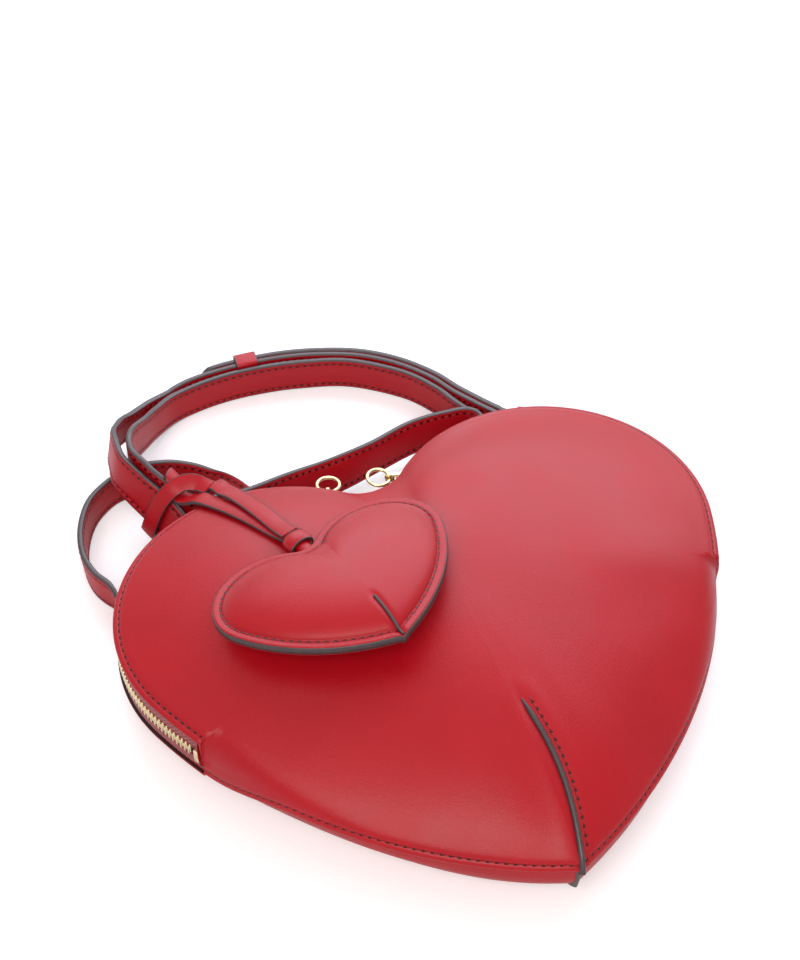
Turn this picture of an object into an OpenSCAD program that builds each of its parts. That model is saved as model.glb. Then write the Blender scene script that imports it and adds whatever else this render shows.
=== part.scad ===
// Heart-shaped leather shoulder bag, lying on its back with its long strap coiled behind it.
// Millimetres. +X to the right lobe, +Y towards the notch between the lobes, +Z up.
// The origin is on the table, in the middle of the flat stretch of the back panel.

/* [Heart] */
// Radius of each lobe of the heart
lobe_r = 66.4; // [60:0.1:72]
// Distance of a lobe's centre from the middle line
lobe_x = 58.4; // [54:0.1:62]
// Distance of a lobe's centre above the origin
lobe_y = 15.6; // [12:0.1:19]
// Radius of the hollow at the notch
notch_r = 22.1; // [16:0.1:30]
// Distance of the tip below the origin
tip_y = 130.6; // [122:0.1:138]
// Sideways lean of the tip
tip_x = -4; // [-6:0.5:6]
// Angle below level at which a lobe turns into the flatter side
side_angle = 20; // [16:1:24]

/* [Panels] */
// Height of the top of the front panel above the table
crown_z = 57; // [54:0.5:62]
// Height of the side seam above the table
seam_z = 26; // [24:0.5:28]
// Distance between the two panels' edges along the zip
zip_gap = 18.8; // [17:0.1:21]
// Thickness of the leather panels
panel_t = 1.8; // [1.4:0.1:2.2]
// Step between the front panel's edge and the back panel below it
seam_step = 1.2; // [0.8:0.1:1.8]
// Length of each dart, measured along the middle line
dart_len = 60; // [50:1:68]
// Width of the pinched welt on a dart
dart_w = 2.4; // [1.8:0.1:3.2]
// Height of the pinched welt on a dart
dart_h = 1.6; // [1.2:0.1:2.2]
// Thickness of the cloth lining
lining_t = 0.8; // [0.6:0.1:1.2]
// Width of the slip pocket inside
pocket_w = 42; // [36:1:48]
// Depth of the slip pocket inside
pocket_d = 62; // [50:1:70]

/* [Zip] */
// Length of zip that runs on along each side below the lobe
zip_tail = 26; // [22:1:30]
// Thickness of the zip tape
tape_t = 0.7; // [0.5:0.1:0.9]
// Height of one row of teeth
tooth_h = 2.4; // [2:0.1:2.8]
// Thickness of the teeth across the tape
tooth_t = 1.8; // [1.4:0.1:1.9]
// Distance from one tooth to the next in a row
tooth_pitch = 2.1; // [1.9:0.05:2.6]
// Height of the slider's plates
slider_w = 8.4; // [7.8:0.1:9.2]
// Length of the slider's plates
slider_len = 9.6; // [8.6:0.1:10.6]
// Outer diameter of the pull ring
ring_d = 11; // [10:0.1:12]
// Thickness of the pull ring's wire
ring_wire = 1.5; // [1.2:0.1:1.7]
// Angle from a parked slider to the start of the hollow, measured at the lobe's centre
park_back = 4.3; // [3.6:0.1:8]

/* [Strap] */
// Width of the strap
strap_w = 16.4; // [14:0.1:18]
// Thickness of the strap
strap_t = 2.6; // [2:0.1:2.8]
// Thickness of the keeper's leather
keeper_t = 1; // [0.8:0.1:1.4]
// Length of a keeper along the strap
keeper_len = 10; // [8:0.5:11]
// Thickness of the buckle's bars
buckle_bar = 2.4; // [2:0.1:2.6]
// Distance between the buckle's two upright bars
buckle_len = 17; // [16:0.5:19]
// Thickness of the wire of the strap rings
loop_wire = 2.2; // [1.8:0.1:2.4]
// Diameter of the strap's adjusting holes
hole_d = 2.6; // [2:0.1:3.2]

/* [Charm] */
// Width of the heart charm
charm_w = 98.6; // [88:0.2:102]
// Length of the heart charm from the lobes to the tip
charm_len = 72.6; // [68:0.2:78]
// Thickness of one leather layer at the charm's edge
charm_edge = 2; // [1.6:0.1:2.2]
// Height of the padded top above the charm's edge
charm_top = 8; // [6:0.5:10]
// Depth of the padded underside below the charm's edge
charm_under = 2.5; // [1.5:0.5:3.5]
// Width of the leather strip that ties the charm on
strip_w = 7; // [5.5:0.1:7.6]
// Thickness of that strip
strip_t = 1.5; // [1.1:0.1:1.6]

/* [Hidden] */
$fn = 32;
// Clearance between soft pieces that lie against each other
soft_gap = 0.3;
// Overrun of a cut past the faces that it goes through
cut = 1;

// Small helpers
function unit(a) = [cos(a), sin(a)];
function mix(a, b, t) = a + (b - a) * t;
function clamp(v) = min(1, max(0, v));
function flat(lists) = [for (l = lists) each l];
function over(p, z) = [p.x, p.y, z];

// Heart outline: a hollow at the notch, a round lobe, then a flatter side down to the tip
lobe_c = [lobe_x, lobe_y];
half_w = lobe_x + lobe_r;
to_tip = lobe_c + [0, tip_y];
side_u = unit(-side_angle);
side_r = (to_tip * to_tip + 2 * lobe_r * (to_tip * side_u) + lobe_r * lobe_r)
    / (2 * (to_tip * side_u + lobe_r));
side_c = lobe_c - (side_r - lobe_r) * side_u;
notch_c = [0, lobe_y + sqrt(pow(lobe_r + notch_r, 2) - lobe_x * lobe_x)];
notch_y = notch_c.y - notch_r;
notch_a = atan2(notch_c.y - lobe_c.y, notch_c.x - lobe_c.x);
notch_steps = 3;
lobe_steps = 16;
tail_steps = 2;
low_steps = 9;
// Length over which the panels' edges come together where the zip ends
close_len = 2.5;

function notch_p(a, d) = notch_c + (notch_r + d) * unit(a);
function lobe_p(a, d) = lobe_c + (lobe_r - d) * unit(a);
function side_p(a, d) = side_c + (side_r - d) * unit(a);
function side_turn(len) = len / side_r * 180 / PI;
function tip_a(d) = -acos(-side_c.x / (side_r - d));
zip_a = -side_angle - side_turn(zip_tail);
low_a = zip_a - side_turn(close_len);

// Points of the right half from the notch to the tip, d inside the outline: [x, y, open],
// where open is 1 along the zip and 0 along the sewn seam
function half(d) = concat(
    [for (i = [0:notch_steps - 1]) over(notch_p(mix(270, notch_a + 180, i / notch_steps), d), 1)],
    [for (i = [0:lobe_steps - 1]) over(lobe_p(mix(notch_a, -side_angle, i / lobe_steps), d), 1)],
    [for (i = [0:tail_steps]) over(side_p(mix(-side_angle, zip_a, i / tail_steps), d), 1)],
    [for (i = [0:low_steps]) over(side_p(mix(low_a, tip_a(d), i / low_steps), d), 0)]);
zip_count = notch_steps + lobe_steps + tail_steps;
half_count = zip_count + low_steps + 2;
function flip_x(p) = [-p.x, p.y, p.z];
function leaned(p) = [p.x + tip_x * pow(clamp(-p.y / tip_y), 3), p.y, p.z];
function ring_of(h) = concat([for (p = h) leaned(p)],
    [for (i = [len(h) - 2:-1:1]) leaned(flip_x(h[i]))]);
function zip_run(d) = let (h = half(d))
    concat([for (i = [zip_count:-1:1]) flip_x(h[i])], [for (i = [0:zip_count]) h[i]]);

// Domed surfaces of the two panels, by the share of the way from the middle to the edge
front_round_share = 2.2;
front_zip_share = 0.9;
front_tip_share = 0.62;
back_flat_share = 0.45;
back_round_share = 1.8;
back_zip_share = 0.8;
back_tip_share = 0.18;
slope_step_share = 0.02;
function tip_share(e) = pow(clamp(-e.y / tip_y), 2);
// how far the edges part near a place on the outline: the gap itself holds only at the edge
open_y_share = 0.62;
step_share = 9;
function eased(v) = v * v * (3 - 2 * v);
function parted(e, s) = mix(eased(clamp(1 + e.y / (open_y_share * tip_y))), e.z, pow(s, step_share));
function front_z(e, s) = mix(seam_z + parted(e, s) * zip_gap / 2, crown_z,
    pow(1 - pow(s, front_round_share), mix(front_zip_share, front_tip_share, tip_share(e))));
function back_rim_z(e, s) = seam_z - mix(panel_t + soft_gap, zip_gap / 2, parted(e, s));
function back_s(s) = clamp((s - back_flat_share) / (1 - back_flat_share));
function back_z(e, s) = back_rim_z(e, s) * (1 - pow(1 - pow(back_s(s), back_round_share),
    mix(back_zip_share, back_tip_share, eased(clamp(-1.5 * e.y / tip_y)))));
function rim(e) = norm([e.x, e.y]);
function tucked(e) = let (k = 1 - (1 - e.z) * seam_step / rim(e)) [e.x * k, e.y * k, e.z];

// A point of a panel's surface, moved inwards by off along the surface's normal
function front_pt(e, s, off) = let (
    s0 = max(0, s - slope_step_share), s1 = min(1, s0 + slope_step_share),
    dz = front_z(e, s1) - front_z(e, s0), dr = (s1 - s0) * rim(e), l = norm([dr, dz]),
    k = s + off * dz / l / rim(e))
    [e.x * k, e.y * k, front_z(e, s) - off * dr / l];
function back_pt(e, s, off) = let (
    s0 = max(0, s - slope_step_share), s1 = min(1, s0 + slope_step_share),
    dz = back_z(e, s1) - back_z(e, s0), dr = (s1 - s0) * rim(e), l = norm([dr, dz]),
    k = s - off * dz / l / rim(e))
    [e.x * k, e.y * k, back_z(e, s) + off * dr / l];

// Closed skin between two stacks of rings, each with a point at its middle.
// The upper stack faces up, so its rings run clockwise seen from above.
module skin(upper, upper_mid, lower, lower_mid) {
    n = len(upper[0]);
    m = len(upper);
    base = 1 + m * n;
    function u(k, i) = 1 + k * n + i % n;
    function l(k, i) = base + 1 + k * n + i % n;
    fan = [for (i = [0:n - 1]) each [[0, u(0, i), u(0, i + 1)], [base, l(0, i + 1), l(0, i)]]];
    bands = m < 2 ? [] : [for (k = [0:m - 2], i = [0:n - 1]) each [
        [u(k, i), u(k + 1, i), u(k + 1, i + 1)], [u(k, i), u(k + 1, i + 1), u(k, i + 1)],
        [l(k, i), l(k + 1, i + 1), l(k + 1, i)], [l(k, i), l(k, i + 1), l(k + 1, i + 1)]]];
    edge = [for (i = [0:n - 1]) each [
        [u(m - 1, i), l(m - 1, i), l(m - 1, i + 1)],
        [u(m - 1, i), l(m - 1, i + 1), u(m - 1, i + 1)]]];
    polyhedron(concat([upper_mid], flat(upper), [lower_mid], flat(lower)),
        concat(fan, bands, edge));
}

// Solid swept through a list of like sections, closed at both ends
module sweep(sections) {
    n = len(sections[0]);
    m = len(sections);
    walls = [for (k = [0:m - 2], i = [0:n - 1]) let (j = (i + 1) % n) each [
        [k * n + i, k * n + j, (k + 1) * n + j], [k * n + i, (k + 1) * n + j, (k + 1) * n + i]]];
    caps = [[for (i = [n - 1:-1:0]) i], [for (i = [0:n - 1]) (m - 1) * n + i]];
    polyhedron(flat(sections), concat(walls, caps));
}

panel_shares = [0.25, 0.45, 0.62, 0.75, 0.85, 0.92, 0.97, 1];
lining_shares = [0.3, 0.45, 0.65, 0.8, 0.9];
front_rim = ring_of(half(0));
back_rim = [for (e = front_rim) tucked(e)];
function front_rings(shares, off) = [for (s = shares) [for (e = front_rim) front_pt(e, s, off)]];
function back_rings(shares, off) = [for (s = shares) [for (e = back_rim) back_pt(e, s, off)]];
front_inner = panel_t + soft_gap;

module front_panel() {
    color("firebrick") skin(front_rings(panel_shares, 0), [0, 0, crown_z],
        front_rings(panel_shares, panel_t), [0, 0, crown_z - panel_t]);
}

module back_panel() {
    color("firebrick") skin(back_rings(panel_shares, panel_t), [0, 0, panel_t],
        back_rings(panel_shares, 0), [0, 0, 0]);
}

module front_lining() {
    color("rosybrown") skin(front_rings(lining_shares, front_inner),
        [0, 0, crown_z - front_inner], front_rings(lining_shares, front_inner + lining_t),
        [0, 0, crown_z - front_inner - lining_t]);
}

module back_lining() {
    color("rosybrown") skin(back_rings(lining_shares, front_inner + lining_t),
        [0, 0, front_inner + lining_t], back_rings(lining_shares, front_inner),
        [0, 0, front_inner]);
}

// Pocket: a patch of lining laid on the flat stretch of the back lining, open towards the notch
module slip_pocket() {
    floor_z = front_inner + lining_t + soft_gap;
    color("rosybrown") translate([0, -pocket_d / 4, floor_z]) linear_extrude(lining_t)
        polygon([[-pocket_w / 2, pocket_d / 2], [pocket_w / 2, pocket_d / 2],
            [pocket_w / 2, -pocket_d / 4], [0, -pocket_d / 2], [-pocket_w / 2, -pocket_d / 4]]);
}

// Darts: a pinched welt that stands on the panel, from the tip inwards. Away from the tip the
// front one drifts a little to the right of the middle line.
welt_shares = [0.97, 0.92, 0.85, 0.75, 0.62];
dart_end_share = 1 - dart_len / tip_y;
dart_drift_share = 0.4;
tip_i = half_count - 1;
function welt_row(last) = concat([1], [for (s = welt_shares) if (s > last + slope_step_share) s], [last]);
function welt_section(a, b) = [a - [dart_w / 2, 0, 0], a + [dart_w / 2, 0, 0],
    b + [dart_w / 3, 0, 0], b - [dart_w / 3, 0, 0]];
module front_dart_welt() {
    color("dimgray") sweep([for (s = welt_row(dart_end_share))
        let (w = dart_drift_share * (1 - s) / (1 - dart_end_share),
            e = mix(front_rim[tip_i], front_rim[tip_i - 1], w))
        welt_section(front_pt(e, s, -soft_gap), front_pt(e, s, -soft_gap - dart_h))]);
}
back_dart_share = 0.8;
module back_dart_welt() {
    color("dimgray") sweep([for (s = welt_row(back_dart_share)) let (e = back_rim[tip_i],
        q = welt_section(back_pt(e, s, -soft_gap), back_pt(e, s, -soft_gap - dart_h)))
        [q[3], q[2], q[1], q[0]]]);
}

// Zip: the tape's wall stands inside the panels' cut edges and its flange lies under the panel
tape_inset = 1.2;
row_inset = tape_inset + tape_t / 2;
slit = 0.8;
flange_gap = 0.45;
flange_share = 0.96;
flange_end_share = 0.925;
tape_foot = slit + tooth_h + soft_gap / 3;
wall_top = zip_gap / 2 - panel_t - 0.1 * panel_t;
module zip_tape(dir) {
    run = zip_run(0);
    outer = zip_run(tape_inset);
    inner = zip_run(tape_inset + tape_t);
    off = panel_t + flange_gap;
    function under(e, s, o) = dir > 0 ? front_pt(e, s, o) : back_pt(e, s, o);
    function wall_z(v) = seam_z + dir * v;
    // the flange dips below the cut edge's inner lip before it follows the panel
    rows = [for (i = [0:len(run) - 1]) [
        over(outer[i], wall_z(tape_foot)),
        over(outer[i], wall_z(wall_top)),
        under(run[i], flange_share, off), under(run[i], flange_end_share, off),
        under(run[i], flange_end_share, off + tape_t), under(run[i], flange_share, off + tape_t),
        over(inner[i], wall_z(wall_top - tape_t / 2)),
        over(inner[i], wall_z(tape_foot))]];
    color("crimson") sweep(dir < 0 ? rows : [for (r = rows) [for (i = [7:-1:0]) r[i]]]);
}
module zip_tape_front() zip_tape(1);
module zip_tape_back() zip_tape(-1);

// Place on the zip at a length from the notch, d inside the outline
notch_run = (notch_r + row_inset) * (notch_a - 90) * PI / 180;
lobe_run = (lobe_r - row_inset) * (notch_a + side_angle) * PI / 180;
function zip_at(v, d) = let (s = abs(v),
    p = s < notch_run ? notch_p(270 + s / notch_run * (notch_a - 90), d)
        : s < notch_run + lobe_run
        ? lobe_p(notch_a - (s - notch_run) / lobe_run * (notch_a + side_angle), d)
        : side_p(-side_angle - side_turn(s - notch_run - lobe_run), d))
    [sign(v) * p.x, p.y];
stop_len = 2.4;
tooth_run = notch_run + lobe_run + zip_tail - stop_len - tooth_pitch;
tooth_n = floor(tooth_run / tooth_pitch);
tooth_share = 0.55;
bead_t = tape_t + 0.6 * (tooth_t - tape_t);

// A row of teeth: a cord bead along the tape's edge with a tooth at each pitch
module teeth_row(z) {
    crest = row_inset - tooth_t / 2;
    root = row_inset - bead_t / 2;
    back = row_inset + tooth_t / 2;
    face = flat([for (j = [-tooth_n:tooth_n]) let (v = j * tooth_pitch, w = tooth_pitch * tooth_share / 2)
        [zip_at(v - w, root), zip_at(v - w, crest), zip_at(v + w, crest), zip_at(v + w, root)]]);
    rear = [for (j = [tooth_n:-3:-tooth_n]) zip_at(j * tooth_pitch, back)];
    color("gold") translate([0, 0, z]) linear_extrude(tooth_h) polygon(concat(face, rear));
}
module zip_teeth_front() teeth_row(seam_z + slit);
module zip_teeth_back() teeth_row(seam_z - slit - tooth_h);

module zip_end_stops() {
    v = notch_run + lobe_run + zip_tail - stop_len;
    p = zip_at(v, row_inset);
    for (side = [1, -1]) color("gold") translate([side * p.x, p.y, seam_z])
        rotate([0, 0, side > 0 ? zip_a : 180 - zip_a])
        translate([-tooth_t, -stop_len / 2, -tooth_h - slit])
        cube([2 * tooth_t, stop_len, 2 * (tooth_h + slit)]);
}

// Sliders run round the lobes' centres. Local +X points out of the bag, +Y towards the notch.
park_angle = notch_a - park_back;
row_r = lobe_r - row_inset;
plate_gap = 0.7;
plate_t = 1.2;
plate_x = tooth_t / 2 + plate_gap;
face_x = plate_x + plate_t;
post_len = 2.4;
bail_w = 2;
bail_bar = 0.9;
pin_r = 0.7;
pin_gap = 0.3;
bail_reach = 2 * (pin_r + pin_gap);
bail_half = pin_r + 2 * pin_gap + bail_bar;
pin_x = face_x + pin_r + pin_gap;

module at_park(side) {
    mirror([side > 0 ? 0 : 1, 0, 0]) translate([lobe_x, lobe_y, seam_z])
        rotate([0, 0, park_angle]) translate([row_r, 0, 0]) children();
}
module slider_plate() {
    nose = slider_w / 2;
    tail = 0.38 * slider_w;
    rotate([90, 0, 90]) linear_extrude(plate_t) polygon([
        [-slider_len / 2, -tail], [0, -tail], [slider_len / 4, -nose], [slider_len / 2, -0.7 * nose],
        [slider_len / 2, 0.7 * nose], [slider_len / 4, nose], [0, tail], [-slider_len / 2, tail]]);
}
module slider_body() {
    translate([plate_x, 0, 0]) slider_plate();
    translate([-face_x, 0, 0]) slider_plate();
    translate([-face_x, slider_len / 2 - post_len, -0.75 * slit])
        cube([2 * face_x, post_len, 1.5 * slit]);
    difference() {
        translate([face_x - plate_t / 2, -bail_half, -bail_w / 2])
            cube([plate_t / 2 + bail_reach + bail_bar, 2 * bail_half, bail_w]);
        translate([face_x, -bail_half + bail_bar, -bail_w / 2 - cut])
            cube([bail_reach, 2 * (bail_half - bail_bar), bail_w + 2 * cut]);
    }
}
module left_slider() color("gold") at_park(-1) slider_body();
module right_slider() color("gold") at_park(1) slider_body();

// Pull: a stirrup on a pin through the slider's bail, with an eye for the ring
arm_t = 0.8;
arm_in = bail_w / 2 + pin_gap;
bail_corner = norm([bail_reach + bail_bar - pin_r - pin_gap, bail_half]);
bridge_x = bail_corner + pin_gap;
eye_r = ring_wire / 2 + pin_gap;
eye_land = 1;
eye_x = bridge_x + eye_r + eye_land;
eye_t = 1.2;
left_turn = 12;
right_turn = -33;
module at_pin(side) {
    at_park(side) translate([pin_x, 0, 0]) rotate([0, 0, side > 0 ? -right_turn : -left_turn])
        children();
}
module pull_body() {
    difference() {
        union() {
            translate([0, 0, -arm_in - arm_t]) cylinder(r = pin_r, h = 2 * (arm_in + arm_t));
            for (z = [-arm_in - arm_t, arm_in]) translate([0, -pin_r, z])
                cube([bridge_x + arm_t, 2 * pin_r, arm_t]);
            translate([bridge_x, -eye_t / 2, -arm_in - arm_t])
                cube([eye_x - bridge_x, eye_t, 2 * (arm_in + arm_t)]);
            translate([eye_x, eye_t / 2, 0]) rotate([90, 0, 0])
                cylinder(r = arm_in + arm_t, h = eye_t);
        }
        translate([eye_x, eye_t / 2 + cut, 0]) rotate([90, 0, 0])
            cylinder(r = eye_r, h = eye_t + 2 * cut);
    }
}
module left_pull() color("gold") at_pin(-1) pull_body();
module right_pull() color("gold") at_pin(1) pull_body();

// The ring hangs in the pull's eye and is tilted up or down about it
left_tilt = -6;
right_tilt = 5;
module pull_ring(tilt) {
    r = (ring_d - ring_wire) / 2;
    translate([eye_x, 0, 0]) rotate([0, -tilt, 0]) translate([r, 0, 0])
        rotate_extrude() translate([r, 0]) circle(d = ring_wire);
}
module left_pull_ring() color("gold") at_pin(-1) pull_ring(left_tilt);
module right_pull_ring() color("gold") at_pin(1) pull_ring(right_tilt);

// Strap routes: bottom edge's place x, y in shares of the bag's half width, its height in shares
// of the strap's width, and the angle by which the strap leans to the left
short_route_shares = [
    [-0.401, 0.641, 0.06, -88], [-0.401, 0.689, 0.02, -90], [-0.401, 0.745, 0, -90],
    [-0.401, 0.801, 0, -86], [-0.424, 0.845, 0, -69], [-0.462, 0.899, 0, -41],
    [-0.499, 0.963, 0.01, -22], [-0.55, 1.013, 0.01, -12], [-0.626, 1.049, 0.01, -4],
    [-0.694, 1.052, 0, 0], [-0.764, 1.033, 0, 1], [-0.844, 0.969, 0, -2], [-0.904, 0.865, 0, -3],
    [-0.93, 0.755, 0, -4], [-0.925, 0.662, 0, -3], [-0.886, 0.583, 0, -7], [-0.829, 0.529, 0, -44],
    [-0.769, 0.501, 0, -78], [-0.705, 0.513, 0, -82], [-0.665, 0.573, 0, -78],
    [-0.653, 0.641, 0.06, -60], [-0.659, 0.721, 0.3, -40], [-0.682, 0.804, 0.66, -31],
    [-0.721, 0.892, 0.95, -24], [-0.747, 0.981, 1.07, -22], [-0.733, 1.063, 1.07, -13],
    [-0.712, 1.15, 0.83, -12], [-0.654, 1.246, 0.48, -12], [-0.547, 1.321, 0.18, -6],
    [-0.434, 1.37, 0, -3], [-0.321, 1.395, 0, 0], [-0.162, 1.397, 0, 0], [-0.003, 1.376, 0, 0],
    [0.133, 1.337, 0, 0], [0.272, 1.27, 0, 0], [0.383, 1.175, 0, 0], [0.468, 1.058, 0, 0],
    [0.517, 0.95, 0, -1], [0.592, 0.785, 0.11, 0], [0.628, 0.724, 0.2, 0], [0.694, 0.685, 0.2, 0],
    [0.727, 0.666, 0.2, 0]];
long_route_shares = [
    [-0.276, 1.421, 0, 0], [-0.161, 1.421, 0, 0], [0.002, 1.399, 0, 0], [0.141, 1.358, 0, 0],
    [0.285, 1.29, 0, 0], [0.401, 1.192, 0, 0], [0.489, 1.07, 0, 0], [0.538, 0.96, 0, 0],
    [0.614, 0.796, 0.11, 0], [0.647, 0.74, 0.2, 0], [0.723, 0.697, 0.2, 0], [0.749, 0.7, 0.2, 0],
    [0.772, 0.693, 0.2, 0], [0.802, 0.665, 0.2, 0], [0.823, 0.622, 0.2, 0], [0.844, 0.577, 0.2, 0],
    [0.865, 0.557, 0.2, 0], [0.903, 0.535, 0.2, 0], [0.938, 0.5, 0.1, 0], [0.961, 0.459, 0, 0],
    [0.945, 0.429, 0, 0], [0.915, 0.444, 0, 0], [0.881, 0.486, 0, 0], [0.839, 0.53, 0, 0],
    [0.787, 0.572, 0, 0], [0.727, 0.611, 0, 0], [0.675, 0.651, 0, 0], [0.619, 0.682, 0, 0],
    [0.568, 0.74, 0, 0], [0.532, 0.817, 0, 0], [0.497, 0.902, 0, 0], [0.464, 0.997, 0, 0],
    [0.39, 1.119, 0, 0], [0.24, 1.251, 0, 0], [0.088, 1.314, 0, 0], [-0.071, 1.352, 0, 0],
    [-0.239, 1.365, 0, 0], [-0.4, 1.339, 0.04, 0], [-0.51, 1.258, 0.29, 1],
    [-0.59, 1.167, 0.62, 2], [-0.654, 1.07, 1.07, 1], [-0.672, 1.001, 1.15, 1],
    [-0.659, 0.938, 1.09, 5], [-0.646, 0.881, 0.91, 16], [-0.628, 0.819, 0.57, 22],
    [-0.571, 0.761, 0.24, 20], [-0.509, 0.729, 0.06, 10], [-0.476, 0.741, 0.17, 10],
    [-0.444, 0.761, 0.24, 13], [-0.374, 0.753, 0.21, 10], [-0.292, 0.747, 0.23, 13],
    [-0.186, 0.743, 0.24, 20], [-0.028, 0.753, 0.1, 27], [0.138, 0.788, 0.12, 14],
    [0.298, 0.811, 0.21, 15], [0.428, 0.802, 0.28, 13], [0.508, 0.787, 0.3, 5],
    [0.529, 0.74, 0.18, -35], [0.521, 0.697, 0.06, -80], [0.517, 0.641, 0.06, -88]];
function placed(shares) = [for (p = shares) [p.x * half_w, p.y * half_w, p.z * strap_w, p[3]]];
short_route = placed(short_route_shares);
long_route = placed(long_route_shares);
route_steps = 3;

// Smooth curve through the points of a route
function blend(a, b, c, d, t) = (2 * b + (c - a) * t + (2 * a - 5 * b + 4 * c - d) * t * t
    + (3 * b - a - 3 * c + d) * t * t * t) / 2;
function smooth(r) = let (n = len(r)) concat([for (i = [0:n - 2], k = [0:route_steps - 1])
    blend(r[max(i - 1, 0)], r[i], r[i + 1], r[min(i + 2, n - 1)], k / route_steps)], [r[n - 1]]);
function way(r, i) = let (a = r[max(i - 1, 0)], b = r[min(i + 1, len(r) - 1)],
    v = [b.x - a.x, b.y - a.y]) v / norm(v);
function left_of(v) = [-v.y, v.x];
// Frame of the strap at a point of a smooth route: bottom middle, width direction, face direction
function foot(r, i) = [r[i].x, r[i].y, max(0, r[i].z) + strap_t / 2 * abs(sin(r[i][3]))];
function run(r, i) = let (a = r[max(i - 1, 0)], b = r[min(i + 1, len(r) - 1)],
    v = [b.x - a.x, b.y - a.y, b.z - a.z]) v / norm(v);
function across(r, i) = let (n = left_of(way(r, i)), a = r[i][3], t = run(r, i),
    w = [n.x * sin(a), n.y * sin(a), cos(a)], v = w - (w * t) * t) v / norm(v);
function face_dir(r, i) = cross(across(r, i), run(r, i));
short_way = smooth(short_route);
long_way = smooth(long_route);
module band(r) {
    sweep([for (i = [0:len(r) - 1]) let (b = foot(r, i), w = across(r, i) * strap_w,
        f = face_dir(r, i) * strap_t / 2) [b + f, b - f, b - f + w, b + f + w]]);
}

// Middle of the strap's face at a point of a smooth route
function mid_of(r, i) = foot(r, i) + across(r, i) * strap_w / 2;

// Buckle: heel bar at its origin, local +X along the strap towards the front bar
buckle_shares = [0.749, 0.653];
buckle_p = half_w * buckle_shares;
buckle_a = -30;
buckle_lift_share = 0.2;
buckle_mid = (buckle_lift_share + 0.5) * strap_w;
buckle_r = buckle_bar / 2;
frame_half = strap_w / 2 + 2 * soft_gap + buckle_r;
module at_buckle() translate([buckle_p.x, buckle_p.y, buckle_mid]) rotate([0, 0, buckle_a]) children();

module strap_short() {
    loop_gap = 0.2;
    loop_in = buckle_r + loop_gap;
    loop_out = loop_in + strap_t;
    slot = 2 * prong_r + 2 * cut;
    eye_out = buckle_r + prong_r + 2 * soft_gap;
    color("firebrick") {
        band(short_way);
        at_buckle() difference() {
            translate([0, 0, -strap_w / 2]) cylinder(r = loop_out, h = strap_w);
            translate([0, 0, -strap_w / 2 - cut]) cylinder(r = loop_in, h = strap_w + 2 * cut);
            translate([-eye_out, -loop_out - cut, -slot / 2])
                cube([eye_out + loop_out + cut, 2 * (loop_out + cut), slot]);
        }
        end_loop(left_ring_p);
    }
}

// Fold of the strap's end round a strap ring's bar, flat under the bag
loop_gap = 0.25;
fold_t = 1.6;
fold_in = loop_wire / 2 + loop_gap;
fold_out = fold_in + fold_t;
ring_z = fold_out + 2 * soft_gap;
function ring_p(r, i) = [mid_of(r, i).x, r[i].y - fold_out + fold_t / 2];
left_ring_p = ring_p(short_way, 0);
right_ring_p = ring_p(long_way, len(long_way) - 1);
module end_loop(p) {
    translate([p.x, p.y, ring_z]) rotate([90, 0, 90]) difference() {
        cylinder(r = fold_out, h = strap_w, center = true);
        cylinder(r = fold_in, h = strap_w + 2 * cut, center = true);
    }
}

module strap_long() {
    hole_rows = [13, 16, 19, 22];
    color("firebrick") difference() {
        union() {
            band(long_way);
            end_loop(right_ring_p);
        }
        for (i = hole_rows) let (f = face_dir(long_way, i), m = mid_of(long_way, i))
            translate(m) rotate([0, 90, atan2(f.y, f.x)]) translate([0, 0, -strap_t])
                cylinder(d = hole_d, h = 2 * strap_t);
        at_buckle() rotate([0, 90, prong_a]) cylinder(r = prong_hole, h = buckle_len);
    }
}

prong_r = 1.1;
prong_hole = 2.4;
prong_a = asin((buckle_r + prong_r + soft_gap) / buckle_len);
module buckle_frame() {
    color("gold") at_buckle() {
        for (x = [0, buckle_len]) translate([x, 0, -frame_half])
            cylinder(r = buckle_r, h = 2 * frame_half);
        for (z = [-frame_half, frame_half]) translate([0, 0, z]) rotate([0, 90, 0])
            cylinder(r = buckle_r, h = buckle_len);
        for (x = [0, buckle_len], z = [-frame_half, frame_half]) translate([x, 0, z])
            sphere(r = buckle_r);
    }
}
prong_fit = 0.05;
module buckle_prong() {
    eye = buckle_r + prong_fit;
    color("gold") at_buckle() difference() {
        union() {
            translate([0, 0, -prong_r]) cylinder(r = eye + prong_r, h = 2 * prong_r);
            rotate([0, 90, prong_a]) translate([0, 0, eye]) cylinder(r = prong_r, h = buckle_len - eye);
            rotate([0, 90, prong_a]) translate([0, 0, buckle_len]) sphere(r = prong_r);
        }
        translate([0, 0, -prong_r - cut]) cylinder(r = eye, h = 2 * (prong_r + cut));
    }
}

// Keepers: a leather band round the strap and its overlapped end, between a step of the short
// half's way and one of the long half's
keep_gap = 0.35;
keep_room = 0.5;
function lapped(i, j) = (mid_of(short_way, i) + mid_of(long_way, j)) / 2;
function heading(v) = atan2(v.y, v.x);
module keeper(p, a, room) {
    in_t = 2 * strap_t + room + 2 * keep_gap;
    in_w = strap_w + 2 * keep_gap;
    color("firebrick") translate(p) rotate([0, 0, a]) difference() {
        cube([keeper_len, in_t + 2 * keeper_t, in_w + 2 * keeper_t], center = true);
        cube([keeper_len + 2 * cut, in_t, in_w], center = true);
    }
}
slide_step = 31 * route_steps + 1;
slide_p = lapped(slide_step, route_steps + 1);
slide_a = heading(way(short_way, slide_step));
module sliding_keeper() keeper(slide_p, slide_a, keep_room);
module fixed_keeper() keeper(lapped(40 * route_steps - 1, 10 * route_steps - 1), buckle_a, 2 * keep_room);

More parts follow.
